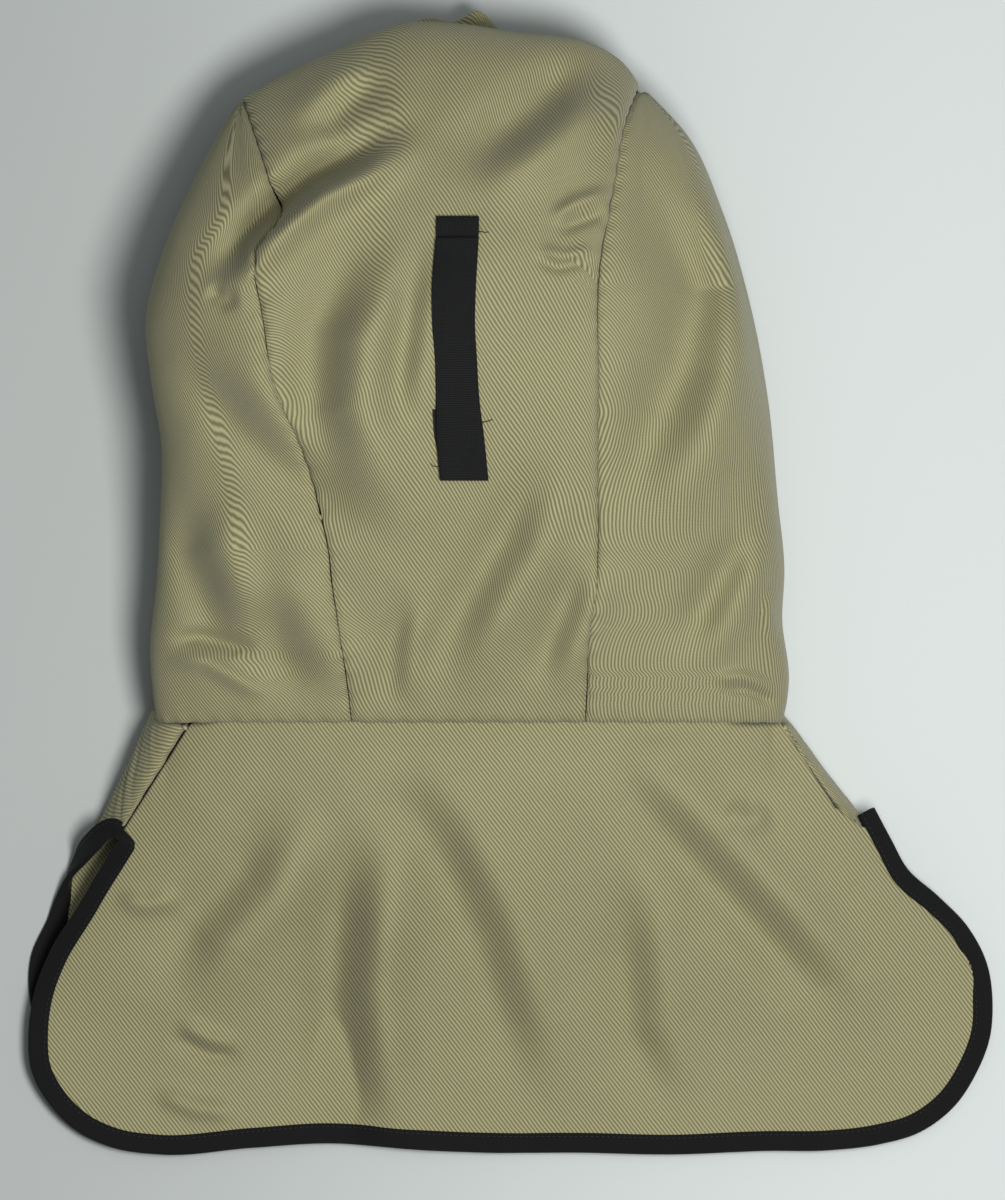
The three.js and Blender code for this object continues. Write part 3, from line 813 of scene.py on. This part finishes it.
GUSSET_TOP = {-1: BODY_WIDTH * -0.492, 1: BODY_WIDTH * 0.414}
GUSSET_FOOT = {-1: (-0.805 * BIB_SPAN / 2, NECK_Y - 0.255 * BIB_DROP),
               1: (0.667 * BIB_SPAN / 2, NECK_Y - 0.19 * BIB_DROP)}


def moved_in(line, width):
    along_edge = np.gradient(line, axis=0)
    along_edge = along_edge / np.linalg.norm(along_edge, axis=1, keepdims=True)
    return line + np.stack([along_edge[:, 1], -along_edge[:, 0]], axis=1) * width


def plan_uv(plan, turn):
    """Places on the cloth in metres, from its plan, turned so that the wales run along v."""
    a = math.radians(turn)
    u, v = plan[..., 0], plan[..., 1] * 1.05
    return np.stack([u * math.cos(a) + v * math.sin(a), v * math.cos(a) - u * math.sin(a)], axis=-1) * MM


def cut_area(points):
    du, dv = np.diff(points[:-1], axis=1), np.diff(points[:, :-1], axis=0)
    return float(np.abs(du[..., 0] * dv[..., 1] - du[..., 1] * dv[..., 0]).sum()) * MM * MM


def back_bib():
    bound = moved_in(edge_line(BACK_EDGE, 400), CLOTH_INSET)
    edge = np.concatenate([[GUSSET_FOOT[1]], [bound[3] + [-10, -4.5]], bound[6:], [GUSSET_FOOT[-1]]])
    plan = bib_plan(edge, GUSSET_TOP[-1] + 0.5, GUSSET_TOP[1] - 0.5, 270, 150, TUCK)
    x, y = plan[..., 0], plan[..., 1]
    points = np.stack([x, y, bib_height(x, y)], axis=2)
    bib = cloth_mesh("back_bib_cloth", points, plan_uv(plan, BIB_TURN), BIB_PLY, outside=False)
    bib.data.materials.append(TWILL)
    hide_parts("back_yoke", "back_bib")
    return bib, cut_area(plan)


back_bib_cloth, back_area = back_bib()
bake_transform(back_bib_cloth)


def front_height(x, y):
    return 2.6 + 0.5 * softness(x, y, 40, 2.2) + 0.3


def front_bib():
    bound = moved_in(edge_line(FRONT_EDGE, 400), CLOTH_INSET)
    edge = np.concatenate([[GUSSET_FOOT[1]], bound, [(-249, -164), (-239, -152), GUSSET_FOOT[-1]]])
    plan = bib_plan(edge, GUSSET_TOP[-1] + 0.5, GUSSET_TOP[1] - 0.5, 150, 70, TUCK)
    x, y = plan[..., 0], plan[..., 1]
    lift = 5.0 * (1 - smooth((NECK_Y + TUCK - y) / 30))
    points = np.stack([x, y, front_height(x, y) + lift], axis=2)
    bib = cloth_mesh("front_bib_cloth", points, plan_uv(plan, BIB_TURN), BIB_PLY, outside=False)
    bib.data.materials.append(TWILL)
    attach(bib, "root")
    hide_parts("front_bib")


front_bib()

# ---- Gussets: short side walls of twill from the neck seam down to the arm notches ----
# Each joins the back bib to the front bib beside the shoulder. The left one is pulled out to the
# side and shows its face, and the right one is folded in under the back bib.


def gusset(name, side, node, foot, spread, bulge, tuck_under, turn):
    v = np.linspace(0, 1, 70)[:, None]
    u = np.linspace(0, 1, 90)[None, :]
    start = (GUSSET_TOP[side], NECK_Y + TUCK)
    x = start[0] * (1 - v) + foot[0] * v
    y = start[1] * (1 - v) + foot[1] * v
    angle = (0.5 - u) * np.pi
    lowered = (1 - np.sin(angle)) / 2
    top_z = bib_height(x, y) + 0.2 - tuck_under * smooth((v - 0.7) / 0.2)
    bottom_z = front_height(x, y) + 5 * (1 - smooth(v * 2.2))
    out = (spread[0] * (1 - v) + spread[1] * v) * lowered
    out = out + (bulge[0] * (1 - v) + bulge[1] * v) * np.cos(angle) ** 0.9
    px = x + side * (0.5 + out)
    pz = top_z * (1 - lowered) + bottom_z * lowered
    ripple = softness(px, y + 3 * pz, 12, 5.5) * np.cos(angle)
    points = np.stack([px + side * 1.2 * ripple, y + 0 * px, pz], axis=2)
    sewn_panel(name, points, [node], turn, outside=(side < 0), edges=(True, True, False, False))


gusset("left_gusset_cloth", -1, "left_gusset", GUSSET_FOOT[-1], (12, 17), (19, 3), 0, 68)
gusset("right_gusset_cloth", 1, "right_gusset", (191, -137), (2, 3), (2.5, 11.5), 5, -60)

# ---- Edge binding: black woven tape folded over the open edges and stitched through ----
# One tape starts with a square cut end beside the right shoulder and runs round the back bib's hem.
# A second one takes over at the left arm notch, turns under and goes on round the front bib.

TAPE_PLY = 0.7
TAPE_CLEAR = 0.1
THREAD_CLEAR = 0.4
STITCH_PITCH = 3.1
STITCH_LENGTH = 2.5


def tape_material():
    material = plain_material("black_woven_tape", (0.013, 0.013, 0.015), 0.7)
    tree = material.node_tree
    set_inputs(tree.nodes["Principled BSDF"], {"Sheen Weight": 0.03, "Specular IOR Level": 0.22})
    flat, across, along = weave_place(tree)
    place = object_place(tree)
    warp = math_node(tree, "SINE", yarn_angle(tree, across, 0.7))
    weft = math_node(tree, "SINE", yarn_angle(tree, along, 0.9))
    cross = math_node(tree, "MULTIPLY", warp, weft)
    fibre = noise_node(tree, flat, 2400, 3)
    lifted = math_node(tree, "ADD", cross, fibre)
    raise_surface(tree, lifted, 0.6, 0.14)
    lint = mix_colour(tree, math_node(tree, "MULTIPLY", noise_node(tree, place, 60, 4), 0.5),
                      (0.0025, 0.0025, 0.003), (0.0055, 0.0055, 0.0065))
    feed_surface(tree, "Base Color", lint)
    return material


TAPE = tape_material()


def folded_section(inner, ply):
    """Half-round section of a tape folded over an edge: (inward, up) pairs round a closed loop."""
    reach, above, below = inner, 0.95, -ply - 0.95
    middle = (above + below) / 2
    half = (above - below) / 2
    turn = np.linspace(-np.pi / 2, np.pi / 2, 9)
    outer = [(reach, below + 0.35), (reach - 1.4, below), (reach / 2, below)]
    outer += [(0.6 - 1.5 * math.cos(a), middle + half * math.sin(a)) for a in turn]
    outer += [(reach / 3, above + 0.12), (reach * 0.62, above + 0.05), (reach - 1.5, above - 0.05),
              (reach - 0.5, above - 0.2), (reach, above - 0.5)]
    inside = [(reach - 0.2, above - TAPE_PLY), (reach / 2, above - TAPE_PLY), (0.9, above - TAPE_PLY)]
    inside += [(0.9, below + TAPE_PLY), (reach / 2, below + TAPE_PLY), (reach - 0.2, below + TAPE_PLY)]
    return np.array(outer + inside)


def swept_tape(name, centre, inward, up, section_points):
    """Sweeps a closed section along a line of frames, with both ends closed."""
    rows = len(centre)
    ring = len(section_points)
    points = (centre[:, None, :] + inward[:, None, :] * section_points[None, :, :1]
              + up[:, None, :] * section_points[None, :, 1:])
    points[:, :, 2] = np.maximum(points[:, :, 2], TAPE_CLEAR)
    faces = []
    for i in range(rows - 1):
        for j in range(ring):
            k = (j + 1) % ring
            faces.append((i * ring + j, i * ring + k, (i + 1) * ring + k, (i + 1) * ring + j))
    faces.append(tuple(range(ring))[::-1])
    faces.append(tuple((rows - 1) * ring + j for j in range(ring)))
    mesh = bpy.data.meshes.new(name)
    mesh.from_pydata((points.reshape(-1, 3) * MM).tolist(), [], faces)
    run = np.concatenate([[0], np.cumsum(np.linalg.norm(np.diff(centre, axis=0), axis=1))])
    round_it = np.concatenate([[0], np.cumsum(np.linalg.norm(np.diff(section_points, axis=0), axis=1))])
    uv = np.stack(np.broadcast_arrays(round_it[None, :], run[:, None]), axis=2).reshape(-1, 2) * MM
    write_weave(mesh, uv)
    edit = bmesh.new()
    edit.from_mesh(mesh)
    bmesh.ops.recalc_face_normals(edit, faces=edit.faces)
    edit.to_mesh(mesh)
    edit.free()
    mesh.polygons.foreach_set("use_smooth", [True] * len(mesh.polygons))
    piece = bpy.data.objects.new(name, mesh)
    bpy.context.collection.objects.link(piece)
    mesh.materials.append(TAPE)
    return piece


def unit(vectors):
    return vectors / np.maximum(np.linalg.norm(vectors, axis=-1, keepdims=True), 1e-9)


def edge_frames(plan, height):
    """Frames along an open edge: its points, the way into the cloth, and up from its face."""
    x, y = plan[:, 0], plan[:, 1]
    centre = np.stack([x, y, height(x, y)], axis=1)
    into = moved_in(plan, 5.0)
    inner = np.stack([into[:, 0], into[:, 1], height(into[:, 0], into[:, 1])], axis=1)
    inward = unit(inner - centre)
    tangent = unit(np.gradient(centre, axis=0))
    upward = unit(np.cross(inward, tangent))
    return centre, inward, upward * np.where(upward[:, 2:] < 0, -1, 1)


def thread_rule(name, points, lines, numbers, material):
    """Bare lines and a Geometry Nodes rule that will make threads of a material along them."""
    mesh = bpy.data.meshes.new(name)
    mesh.from_pydata((points * MM).tolist(), lines, [])
    raw = bpy.data.objects.new(name + "_raw", mesh)
    bpy.context.collection.objects.link(raw)
    tree = bpy.data.node_groups.new(name + "_rule", "GeometryNodeTree")
    tree.interface.new_socket("Lines", in_out="INPUT", socket_type="NodeSocketGeometry")
    for number in numbers:
        tree.interface.new_socket(number, in_out="INPUT", socket_type="NodeSocketFloat")
    tree.interface.new_socket("Made", in_out="OUTPUT", socket_type="NodeSocketGeometry")
    given = tree.nodes.new("NodeGroupInput")
    result = tree.nodes.new("NodeGroupOutput")
    line = tree.nodes.new("GeometryNodeMeshToCurve")
    real = tree.nodes.new("GeometryNodeRealizeInstances")
    paint = tree.nodes.new("GeometryNodeSetMaterial")
    set_inputs(paint, {"Material": material})
    wire(tree, (given, "Lines", line, "Mesh"), (real, "Geometry", paint, "Geometry"),
         (paint, "Geometry", result, "Made"))
    return raw, tree, given, line, real


def ruled_piece(raw, tree, numbers, name):
    """Runs a rule with its numbers, given in millimetres, and returns what it makes as a piece."""
    rule = raw.modifiers.new("rule", "NODES")
    rule.node_group = tree
    for item in tree.interface.items_tree:
        if item.name in numbers:
            rule[item.identifier] = numbers[item.name] * MM
    return plain_copy(raw, name)


def stitch_row(name, path, spacing, length, thickness, material_name="black_thread"):
    """Thread stitches laid end to end along a line of points."""
    material = bpy.data.materials.get(material_name) or thread_material(material_name)
    path = np.maximum(path, [-np.inf, -np.inf, THREAD_CLEAR])
    links = [(i, i + 1) for i in range(len(path) - 1)]
    numbers = {"Spacing": spacing, "Length": length, "Thickness": thickness}
    raw, tree, given, line, real = thread_rule(name, path, links, numbers, material)
    spaced = tree.nodes.new("GeometryNodeResampleCurve")
    spaced.mode = "LENGTH"
    tangent = tree.nodes.new("GeometryNodeInputTangent")
    aim = tree.nodes.new("FunctionNodeAlignRotationToVector")
    aim.axis = "X"
    bead = tree.nodes.new("GeometryNodeMeshIcoSphere")
    set_inputs(bead, {"Radius": 0.5, "Subdivisions": 1})
    size = tree.nodes.new("ShaderNodeCombineXYZ")
    place = tree.nodes.new("GeometryNodeInstanceOnPoints")
    wire(tree, (line, "Curve", spaced, "Curve"), (given, "Spacing", spaced, "Length"),
         (tangent, "Tangent", aim, "Vector"), (given, "Length", size, "X"),
         (given, "Thickness", size, "Y"), (given, "Thickness", size, "Z"),
         (spaced, "Curve", place, "Points"), (bead, "Mesh", place, "Instance"),
         (aim, "Rotation", place, "Rotation"), (size, "Vector", place, "Scale"),
         (place, "Instances", real, "Geometry"))
    return ruled_piece(raw, tree, numbers, name)


def thread_material(name):
    material = plain_material(name, (0.014, 0.014, 0.016), 0.5)
    tree = material.node_tree
    place = object_place(tree)
    tone = mix_colour(tree, noise_node(tree, place, 900, 2), (0.006, 0.006, 0.007), (0.016, 0.016, 0.018))
    feed_surface(tree, "Base Color", tone)
    return material


ply_section = folded_section(TAPE_WIDTH - TAPE_INSET, BIB_PLY)
back_line = moved_in(edge_line(BACK_EDGE, 620), TAPE_INSET)
centre, inward, up = edge_frames(back_line, bib_height)
back_tape = swept_tape("back_edge_tape", centre, inward, up, ply_section)
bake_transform(back_tape)
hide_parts("back_binding", "left_yoke_binding", "right_yoke_binding")

STITCH_IN = 3.4
back_row = centre + inward * (TAPE_WIDTH - STITCH_IN) + up * 1.0
back_stitches = stitch_row("back_edge_stitches", back_row, STITCH_PITCH, STITCH_LENGTH, 0.55)
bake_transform(back_stitches)


def smooth_frames(keys, count):
    """Frames along a turning edge, eased between [place, way in, out of the face] keys."""
    keys = np.array(keys, float).reshape(len(keys), 9)
    at = np.arange(len(keys))
    t = np.linspace(0, len(keys) - 1, count)
    flow = np.stack([profile(np.stack([at, column], axis=1))(t) for column in keys.T], axis=1)
    places, into, out = flow[:, :3], unit(flow[:, 3:6]), flow[:, 6:]
    return places, into, unit(out - into * (out * into).sum(axis=1, keepdims=True))


def rise_of(x, y, below=0.0):
    return float(bib_height(np.array([float(x)]), np.array([float(y)]))[0]) - below


def front_frames():
    """Frames of the front bib's edge, with the outer face of the cloth downward."""
    line = moved_in(edge_line(FRONT_EDGE, 460), TAPE_INSET)
    points, into, upward = edge_frames(line, front_height)
    return points - upward * BIB_PLY, into, -upward


front_centre, front_inward, front_out = front_frames()
# The left binding turns over the gusset's edge into the front bib's. The right one is folded in
# under the back bib.
left_loop = smooth_frames([
    [centre[-1], inward[-1], up[-1]],
    [(-225.2, -141.6, rise_of(-222, -142)), (0.9, 0.55, 0.12), (0, 0, 1)],
    [(-228.6, -142.2, rise_of(-222, -142, 4)), (-0.1, 1, 0.1), (-0.1, 0, 1)],
    [(-234, -148, rise_of(-226, -146, 10)), (-0.72, 0.66, -0.12), (-0.5, 0.3, 0.8)],
    [(-243, -156, 18), (-0.5, 0.3, -0.8), (-0.75, 0.45, 0.5)],
    [(-252, -164.5, 11), (0, 0, -1), (-0.87, 0.49, 0)],
    [(-258.5, -176, 4.6), (0.75, -0.4, -0.5), (-0.5, 0.3, -0.8)],
    [front_centre[-1], front_inward[-1], front_out[-1]]], 90)
right_loop = smooth_frames([
    [(197, -142, rise_of(197, -139, 6)), (-0.2, 1, 0.15), (0.3, 0, 1)],
    [(203, -142, 22), (0, 1, 0), (1, 0, 0.1)],
    [(203.5, -143.5, 8), (-0.3, 1, 0), (0.7, 0, -0.7)],
    [front_centre[0], front_inward[0], front_out[0]]], 50)
route = [np.concatenate([a, b, c[::-1]]) for a, b, c in
         zip(right_loop, (front_centre, front_inward, front_out), left_loop)]
front_tape = swept_tape("front_edge_tape", *route, ply_section)
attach(front_tape, "root")
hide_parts("front_binding", "left_notch_binding", "right_notch_binding")
front_row = route[0] + route[1] * (TAPE_WIDTH - STITCH_IN)
outer_row = front_row + route[2] * 1.0
inner_row = front_row - route[2] * (BIB_PLY + 1.0)
for name, row in (("front_edge_stitches", outer_row), ("front_edge_stitches_inside", inner_row)):
    front_stitches = stitch_row(name, row, STITCH_PITCH, STITCH_LENGTH, 0.55)
    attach(front_stitches, "root")

# ---- Back strap: a length of black webbing hanging from its hem, with its hook-and-loop closure ----
# The hem is folded double and stitched to the back of the hood. The strap's foot sticks to a loop
# patch that is sewn on below it, by the hook tab on its own underside.

HEM_FOOT = low("strap_hem", 1) - 0.6
STRAP_PLY = 1.4
PATCH_PLY = 1.3


def webbing_material():
    material = plain_material("black_webbing", (0.015, 0.016, 0.019), 0.62)
    tree = material.node_tree
    set_inputs(tree.nodes["Principled BSDF"], {"Sheen Weight": 0.03, "Specular IOR Level": 0.25})
    flat, across, along = weave_place(tree)
    rib = math_node(tree, "SINE", yarn_angle(tree, across, 1.15))
    pick = math_node(tree, "SINE", yarn_angle(tree, along, 1.0))
    woven = math_node(tree, "MULTIPLY", rib, pick)
    fibre = noise_node(tree, flat, 2200, 3)
    lifted = math_node(tree, "ADD", math_node(tree, "ADD", woven, rib), fibre)
    raise_surface(tree, lifted, 0.7, 0.16)
    tone = math_node(tree, "MULTIPLY_ADD", woven, 0.35)
    tone.node.inputs[2].default_value = 0.4
    woven_black = mix_colour(tree, tone, (0.0022, 0.0024, 0.003), (0.0056, 0.006, 0.0072))
    feed_surface(tree, "Base Color", woven_black)
    return material


def pile_material():
    material = plain_material("hook_and_loop", (0.012, 0.012, 0.013), 0.9)
    tree = material.node_tree
    set_inputs(tree.nodes["Principled BSDF"], {"Sheen Weight": 0.08})
    place = object_place(tree)
    loops = noise_node(tree, place, 1500, 4)
    raise_surface(tree, loops, 0.9, 0.4)
    feed_surface(tree, "Base Color", mix_colour(tree, loops, (0.002, 0.002, 0.0025), (0.008, 0.008, 0.009)))
    return material


WEBBING = webbing_material()
PILE = pile_material()


def strip_on_back(name, stations, lift, thickness, material, body, slot, *nodes):
    """A flat strip laid on the hood's back. Stations are [y, left x, right x], from its foot up."""
    stations = np.array(stations, float)
    y = np.linspace(stations[0, 0], stations[-1, 0], max(12, int(abs(stations[-1, 0] - stations[0, 0]))))
    left = profile(stations[:, :2])(y)
    right = profile(stations[:, [0, 2]])(y)
    u = np.array([0, 0.02, 0.06, 0.2, 0.4, 0.6, 0.8, 0.94, 0.98, 1])[None, :]
    x = left[:, None] * (1 - u) + right[:, None] * u
    rows = y[:, None] + 0 * x
    cloth_z = back_surface(x, rows)
    middle = cloth_z.mean(axis=1, keepdims=True)
    run = x - x.mean(axis=1, keepdims=True)
    slope = (run * (cloth_z - middle)).sum(axis=1, keepdims=True) / (run ** 2).sum(axis=1, keepdims=True)
    flat = middle + slope * run
    flat = flat + np.maximum((cloth_z - flat).max(axis=1, keepdims=True), 0)
    span = 9
    padded = np.pad(flat, ((span, span), (0, 0)), mode="edge")
    eased = np.stack([padded[i:i + len(flat)] for i in range(2 * span + 1)]).mean(axis=0)
    z = np.maximum(eased, cloth_z) + lift(rows)
    z = z - 0.45 * np.exp(-np.minimum(u, 1 - u) / 0.02)
    points = np.stack([x, rows, z], axis=2)
    strip = cloth_mesh(name, points, cloth_uv(points, 0), thickness)
    strip.data.materials.append(material)
    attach(strip, body)
    if nodes:
        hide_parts(*nodes)
    return strip


def strap_lift(y):
    on_patch = smooth((108 - y) / 12)
    near_hem = smooth((y - 180) / 15)
    return STRAP_PLY + 0.2 + 2.6 * on_patch + 1.6 * near_hem


PATCH = [[72, -39.7, -15.8], [82, -42.2, -16.4], [98.5, -43.6, -17.4]]
STRAP = [[59.2, -39.3, -12.3], [82, -41.2, -14.6], [105, -41.6, -17.4], [128, -42.2, -18.8],
         [146, -43.6, -19.8], [164, -43.9, -19.4], [183, -42.8, -18.4], [194.5, -41.6, -17.7]]
strip_on_back("loop_patch_pile", PATCH, lambda y: PATCH_PLY + 0.1 + 0 * y, PATCH_PLY, PILE,
              "root", "hook_and_loop", "loop_patch")
strip_on_back("hook_tab_pile", [[y + 1.5, a + 1.5, b - 1.0] for y, a, b in PATCH[:2]] + [[97, -41, -18.4]],
              lambda y: PATCH_PLY + 1.35 + 0 * y, 1.0, PILE, "strap", "hook_and_loop", "hook_tab")
strip_on_back("back_strap_webbing", STRAP, strap_lift, STRAP_PLY, WEBBING, "strap", "webbing", "back_strap")
strip_on_back("strap_hem_webbing", [[192.4, -41.2, -18.1], [195.4, -41.5, -17.8], [206.4, -41.4, -17.6]],
              lambda y: 1.2 + 1.6 * smooth((y - 195.4) / 1.4) - 0.4 * smooth((y - 203) / 3), 2.8,
              WEBBING, "root", "webbing", "strap_hem")

# ---- Sewing threads of the strap: a row through the hem, and three cut tails ----
# Black polyester thread, left a little long where each row ends.


TAIL_THICKNESS = 0.5


def tail(name, points):
    curve = bpy.data.curves.new(name, "CURVE")
    curve.dimensions = "3D"
    curve.bevel_depth = TAIL_THICKNESS / 2 * MM
    curve.bevel_resolution = 2
    curve.use_fill_caps = True
    line = curve.splines.new("NURBS")
    line.points.add(len(points) - 1)
    for spot, (x, y, above) in zip(line.points, points):
        spot.co = (x * MM, y * MM, (float(back_surface(np.array([x]), np.array([y]))[0]) + above) * MM, 1)
    line.use_endpoint_u = True
    line.order_u = 3
    raw = bpy.data.objects.new(name + "_raw", curve)
    bpy.context.collection.objects.link(raw)
    thread = plain_copy(raw, name)
    thread.data.materials.clear()
    thread.data.materials.append(bpy.data.materials["black_thread"])
    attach(thread, "root")


hem_x = np.linspace(-41, -18, 40)
hem_y = 0 * hem_x + HEM_FOOT + 4.5
hem_row = np.stack([hem_x, hem_y, back_surface(hem_x, hem_y) + 2.9], axis=1)
hem_stitches = stitch_row("strap_hem_stitches", hem_row, 2.6, 2.2, 0.6)
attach(hem_stitches, "root")
tail("hem_thread_tail", [(-18.0, 197.6, 2.6), (-16.6, 197.8, 1.6), (-14.6, 197.2, 0.9), (-12.2, 197.5, 0.5)])
tail("patch_thread_tail", [(-17.6, 91.0, 0.6), (-15.0, 92.0, 1.2), (-12.6, 92.1, 1.5), (-10.2, 93.2, 0.8)])
tail("foot_thread_tail", [(-39.6, 67.0, 0.6), (-41.4, 67.0, 0.9), (-43.4, 67.4, 0.9), (-44.6, 68.9, 0.6)])

# ---- Inside: crown stay under its tape, neck tape and a blank care label ----
# A flat spring steel stay keeps the crown round. Black tapes cover it and the neck seam.


def steel_material():
    material = plain_material("spring_steel", (0.33, 0.34, 0.36), 0.32)
    tree = material.node_tree
    set_inputs(tree.nodes["Principled BSDF"], {"Metallic": 1})
    place = object_place(tree)
    drawn = noise_node(tree, place, 700, 3)
    rough = math_node(tree, "MULTIPLY_ADD", drawn, 0.22)
    rough.node.inputs[2].default_value = 0.24
    feed_surface(tree, "Roughness", rough)
    feed_surface(tree, "Base Color", mix_colour(tree, drawn, (0.26, 0.27, 0.29), (0.42, 0.43, 0.45)))
    return material


def label_material():
    material = plain_material("label_satin", (0.72, 0.71, 0.67), 0.5)
    tree = material.node_tree
    set_inputs(tree.nodes["Principled BSDF"], {"Sheen Weight": 0.2})
    place = object_place(tree)
    weave = noise_node(tree, place, 1100, 3)
    raise_surface(tree, weave, 0.4, 0.1)
    feed_surface(tree, "Base Color", mix_colour(tree, weave, (0.66, 0.65, 0.60), (0.78, 0.77, 0.73)))
    return material


STEEL = steel_material()
LABEL = label_material()


def strip_inside(name, x_range, y_of, width, depth, thickness, material, node):
    """A strip running across the inside of the back, a depth under the cloth's outer face."""
    x = np.linspace(*x_range, 90)[None, :]
    v = np.linspace(0, 1, 8)[:, None]
    y = y_of(x) + width * (v - 0.5)
    x = x + 0 * v
    points = np.stack([x, y, back_surface(x, y) - depth], axis=2)
    strip = cloth_mesh(name, points, cloth_uv(points, 0), thickness)
    strip.data.materials.append(material)
    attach(strip, "root")
    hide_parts(node)


STAY_BELOW_CROWN = 44


def stay_line(x):
    return NECK_Y + BODY_LENGTH * crown_edge(x / BODY_WIDTH) - STAY_BELOW_CROWN


strip_inside("crown_stay_strip", (low("crown_stay", 0) + 4, high("crown_stay", 0) - 2), stay_line,
             6, 3.4, 0.9, STEEL, "crown_stay")
strip_inside("crown_stay_cover", (low("crown_stay_tape", 0) + 4, high("crown_stay_tape", 0) - 2), stay_line,
             12, 4.7, 0.8, TAPE, "crown_stay_tape")
strip_inside("neck_seam_tape", (low("neck_tape", 0), high("neck_tape", 0)), lambda x: NECK_Y + 8 + 0 * x, 12,
             3.6, 0.8, TAPE, "neck_tape")
strip_inside("blank_label", (low("care_label", 0), high("care_label", 0)), lambda x: NECK_Y + 16 + 0 * x, 22,
             4.9, 0.5, LABEL, "care_label")

# ---- Face veil: fine black netting held flat by a spring hoop in a tape casing ----
# The hoop runs in a channel of folded tape round the face window, and the netting is caught in it.

HOOP_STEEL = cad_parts["face_hoop"]
HOOP_STEEL.data.materials.clear()
HOOP_STEEL.data.materials.append(STEEL)


def window_line(inset, count, z):
    """The rounded window's outline, drawn in by a distance, as evenly spaced points."""
    radius = WINDOW_CORNER - inset
    half = [WINDOW_HALF[axis] - inset - radius for axis in (0, 1)]
    points = []
    for quarter, (sx, sy) in enumerate(((1, 1), (-1, 1), (-1, -1), (1, -1))):
        for t in np.linspace(0, math.pi / 2, 24):
            angle = quarter * math.pi / 2 + t
            points.append((WINDOW[0] + sx * half[0] + radius * math.cos(angle),
                           WINDOW[1] + sy * half[1] + radius * math.sin(angle), z))
    points.append(points[0])
    return resampled(np.array(points), count)


def casing():
    base = (low("veil_casing", 2) + high("veil_casing", 2)) / 2
    line = window_line(0.4, 400, base)
    tangent = unit(np.gradient(line, axis=0))
    tangent[0] = tangent[-1] = unit(line[1] - line[-2])
    upward = np.tile([0.0, 0, 1], (len(line), 1))
    into = np.cross(upward, tangent)
    section = [(12.4, 0.9), (8.2, 1.1), (6.6, 2.2), (4.2, 2.85), (2.0, 2.4), (0.6, 1.2), (0.2, 0),
               (0.6, -1.2), (2.0, -2.4), (4.2, -2.85), (6.6, -2.2), (8.2, -1.1), (12.4, -0.9),
               (12.4, -0.5), (9.0, -0.4), (7.2, -1.2), (4.4, -1.9), (2.2, -1.2), (1.3, 0), (2.2, 1.2),
               (4.4, 1.9), (7.2, 1.2), (9.0, 0.4), (12.4, 0.5)]
    tape = swept_tape("veil_casing_tape", line, into, upward, np.array(section))
    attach(tape, "root")
    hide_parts("veil_casing")
    for name, above in (("casing_stitches", -1.2), ("casing_stitches_inside", 1.2)):
        row = stitch_row(name, line + into * 9.6 + upward * above, STITCH_PITCH, STITCH_LENGTH, 0.5)
        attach(row, "root")


def netting_material():
    material = plain_material("black_netting", (0.010, 0.010, 0.011), 0.55)
    tree = material.node_tree
    place = object_place(tree)
    feed_surface(tree, "Base Color", mix_colour(tree, noise_node(tree, place, 500, 2),
                                                (0.006, 0.006, 0.007), (0.02, 0.02, 0.022)))
    return material


def netting():
    """Knotless square netting: threads along every edge of a fine grid that fills the window."""
    pitch = 3.2
    inset = 10.5
    height = (low("face_veil", 2) + high("face_veil", 2)) / 2
    xs = np.arange(low("face_veil", 0), high("face_veil", 0) + 0.1, pitch)
    ys = np.arange(low("face_veil", 1), high("face_veil", 1) + 0.1, pitch)
    grid_x, grid_y = np.meshgrid(xs, ys)
    used = in_window(grid_x, grid_y, inset)
    number = np.cumsum(used.ravel()).reshape(used.shape) - 1
    points = np.stack([grid_x, grid_y, height + 0.25 * softness(grid_x, grid_y, 30, 6.6)], axis=2)[used]
    lines = [(number[i, j], number[i, j + 1]) for i, j in zip(*np.nonzero(used[:, :-1] & used[:, 1:]))]
    lines += [(number[i, j], number[i + 1, j]) for i, j in zip(*np.nonzero(used[:-1] & used[1:]))]
    lines = [tuple(map(int, line)) for line in lines]
    numbers = {"Thread": 0.19}
    raw, tree, given, line, real = thread_rule("netting", points, lines, numbers, netting_material())
    section = tree.nodes.new("GeometryNodeCurvePrimitiveCircle")
    set_inputs(section, {"Resolution": 4})
    tube = tree.nodes.new("GeometryNodeCurveToMesh")
    set_inputs(tube, {"Fill Caps": True})
    wire(tree, (given, "Thread", section, "Radius"), (line, "Curve", tube, "Curve"),
         (section, "Curve", tube, "Profile Curve"), (tube, "Mesh", real, "Geometry"))
    net = ruled_piece(raw, tree, numbers, "face_netting")
    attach(net, "root")
    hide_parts("face_veil")


casing()
netting()
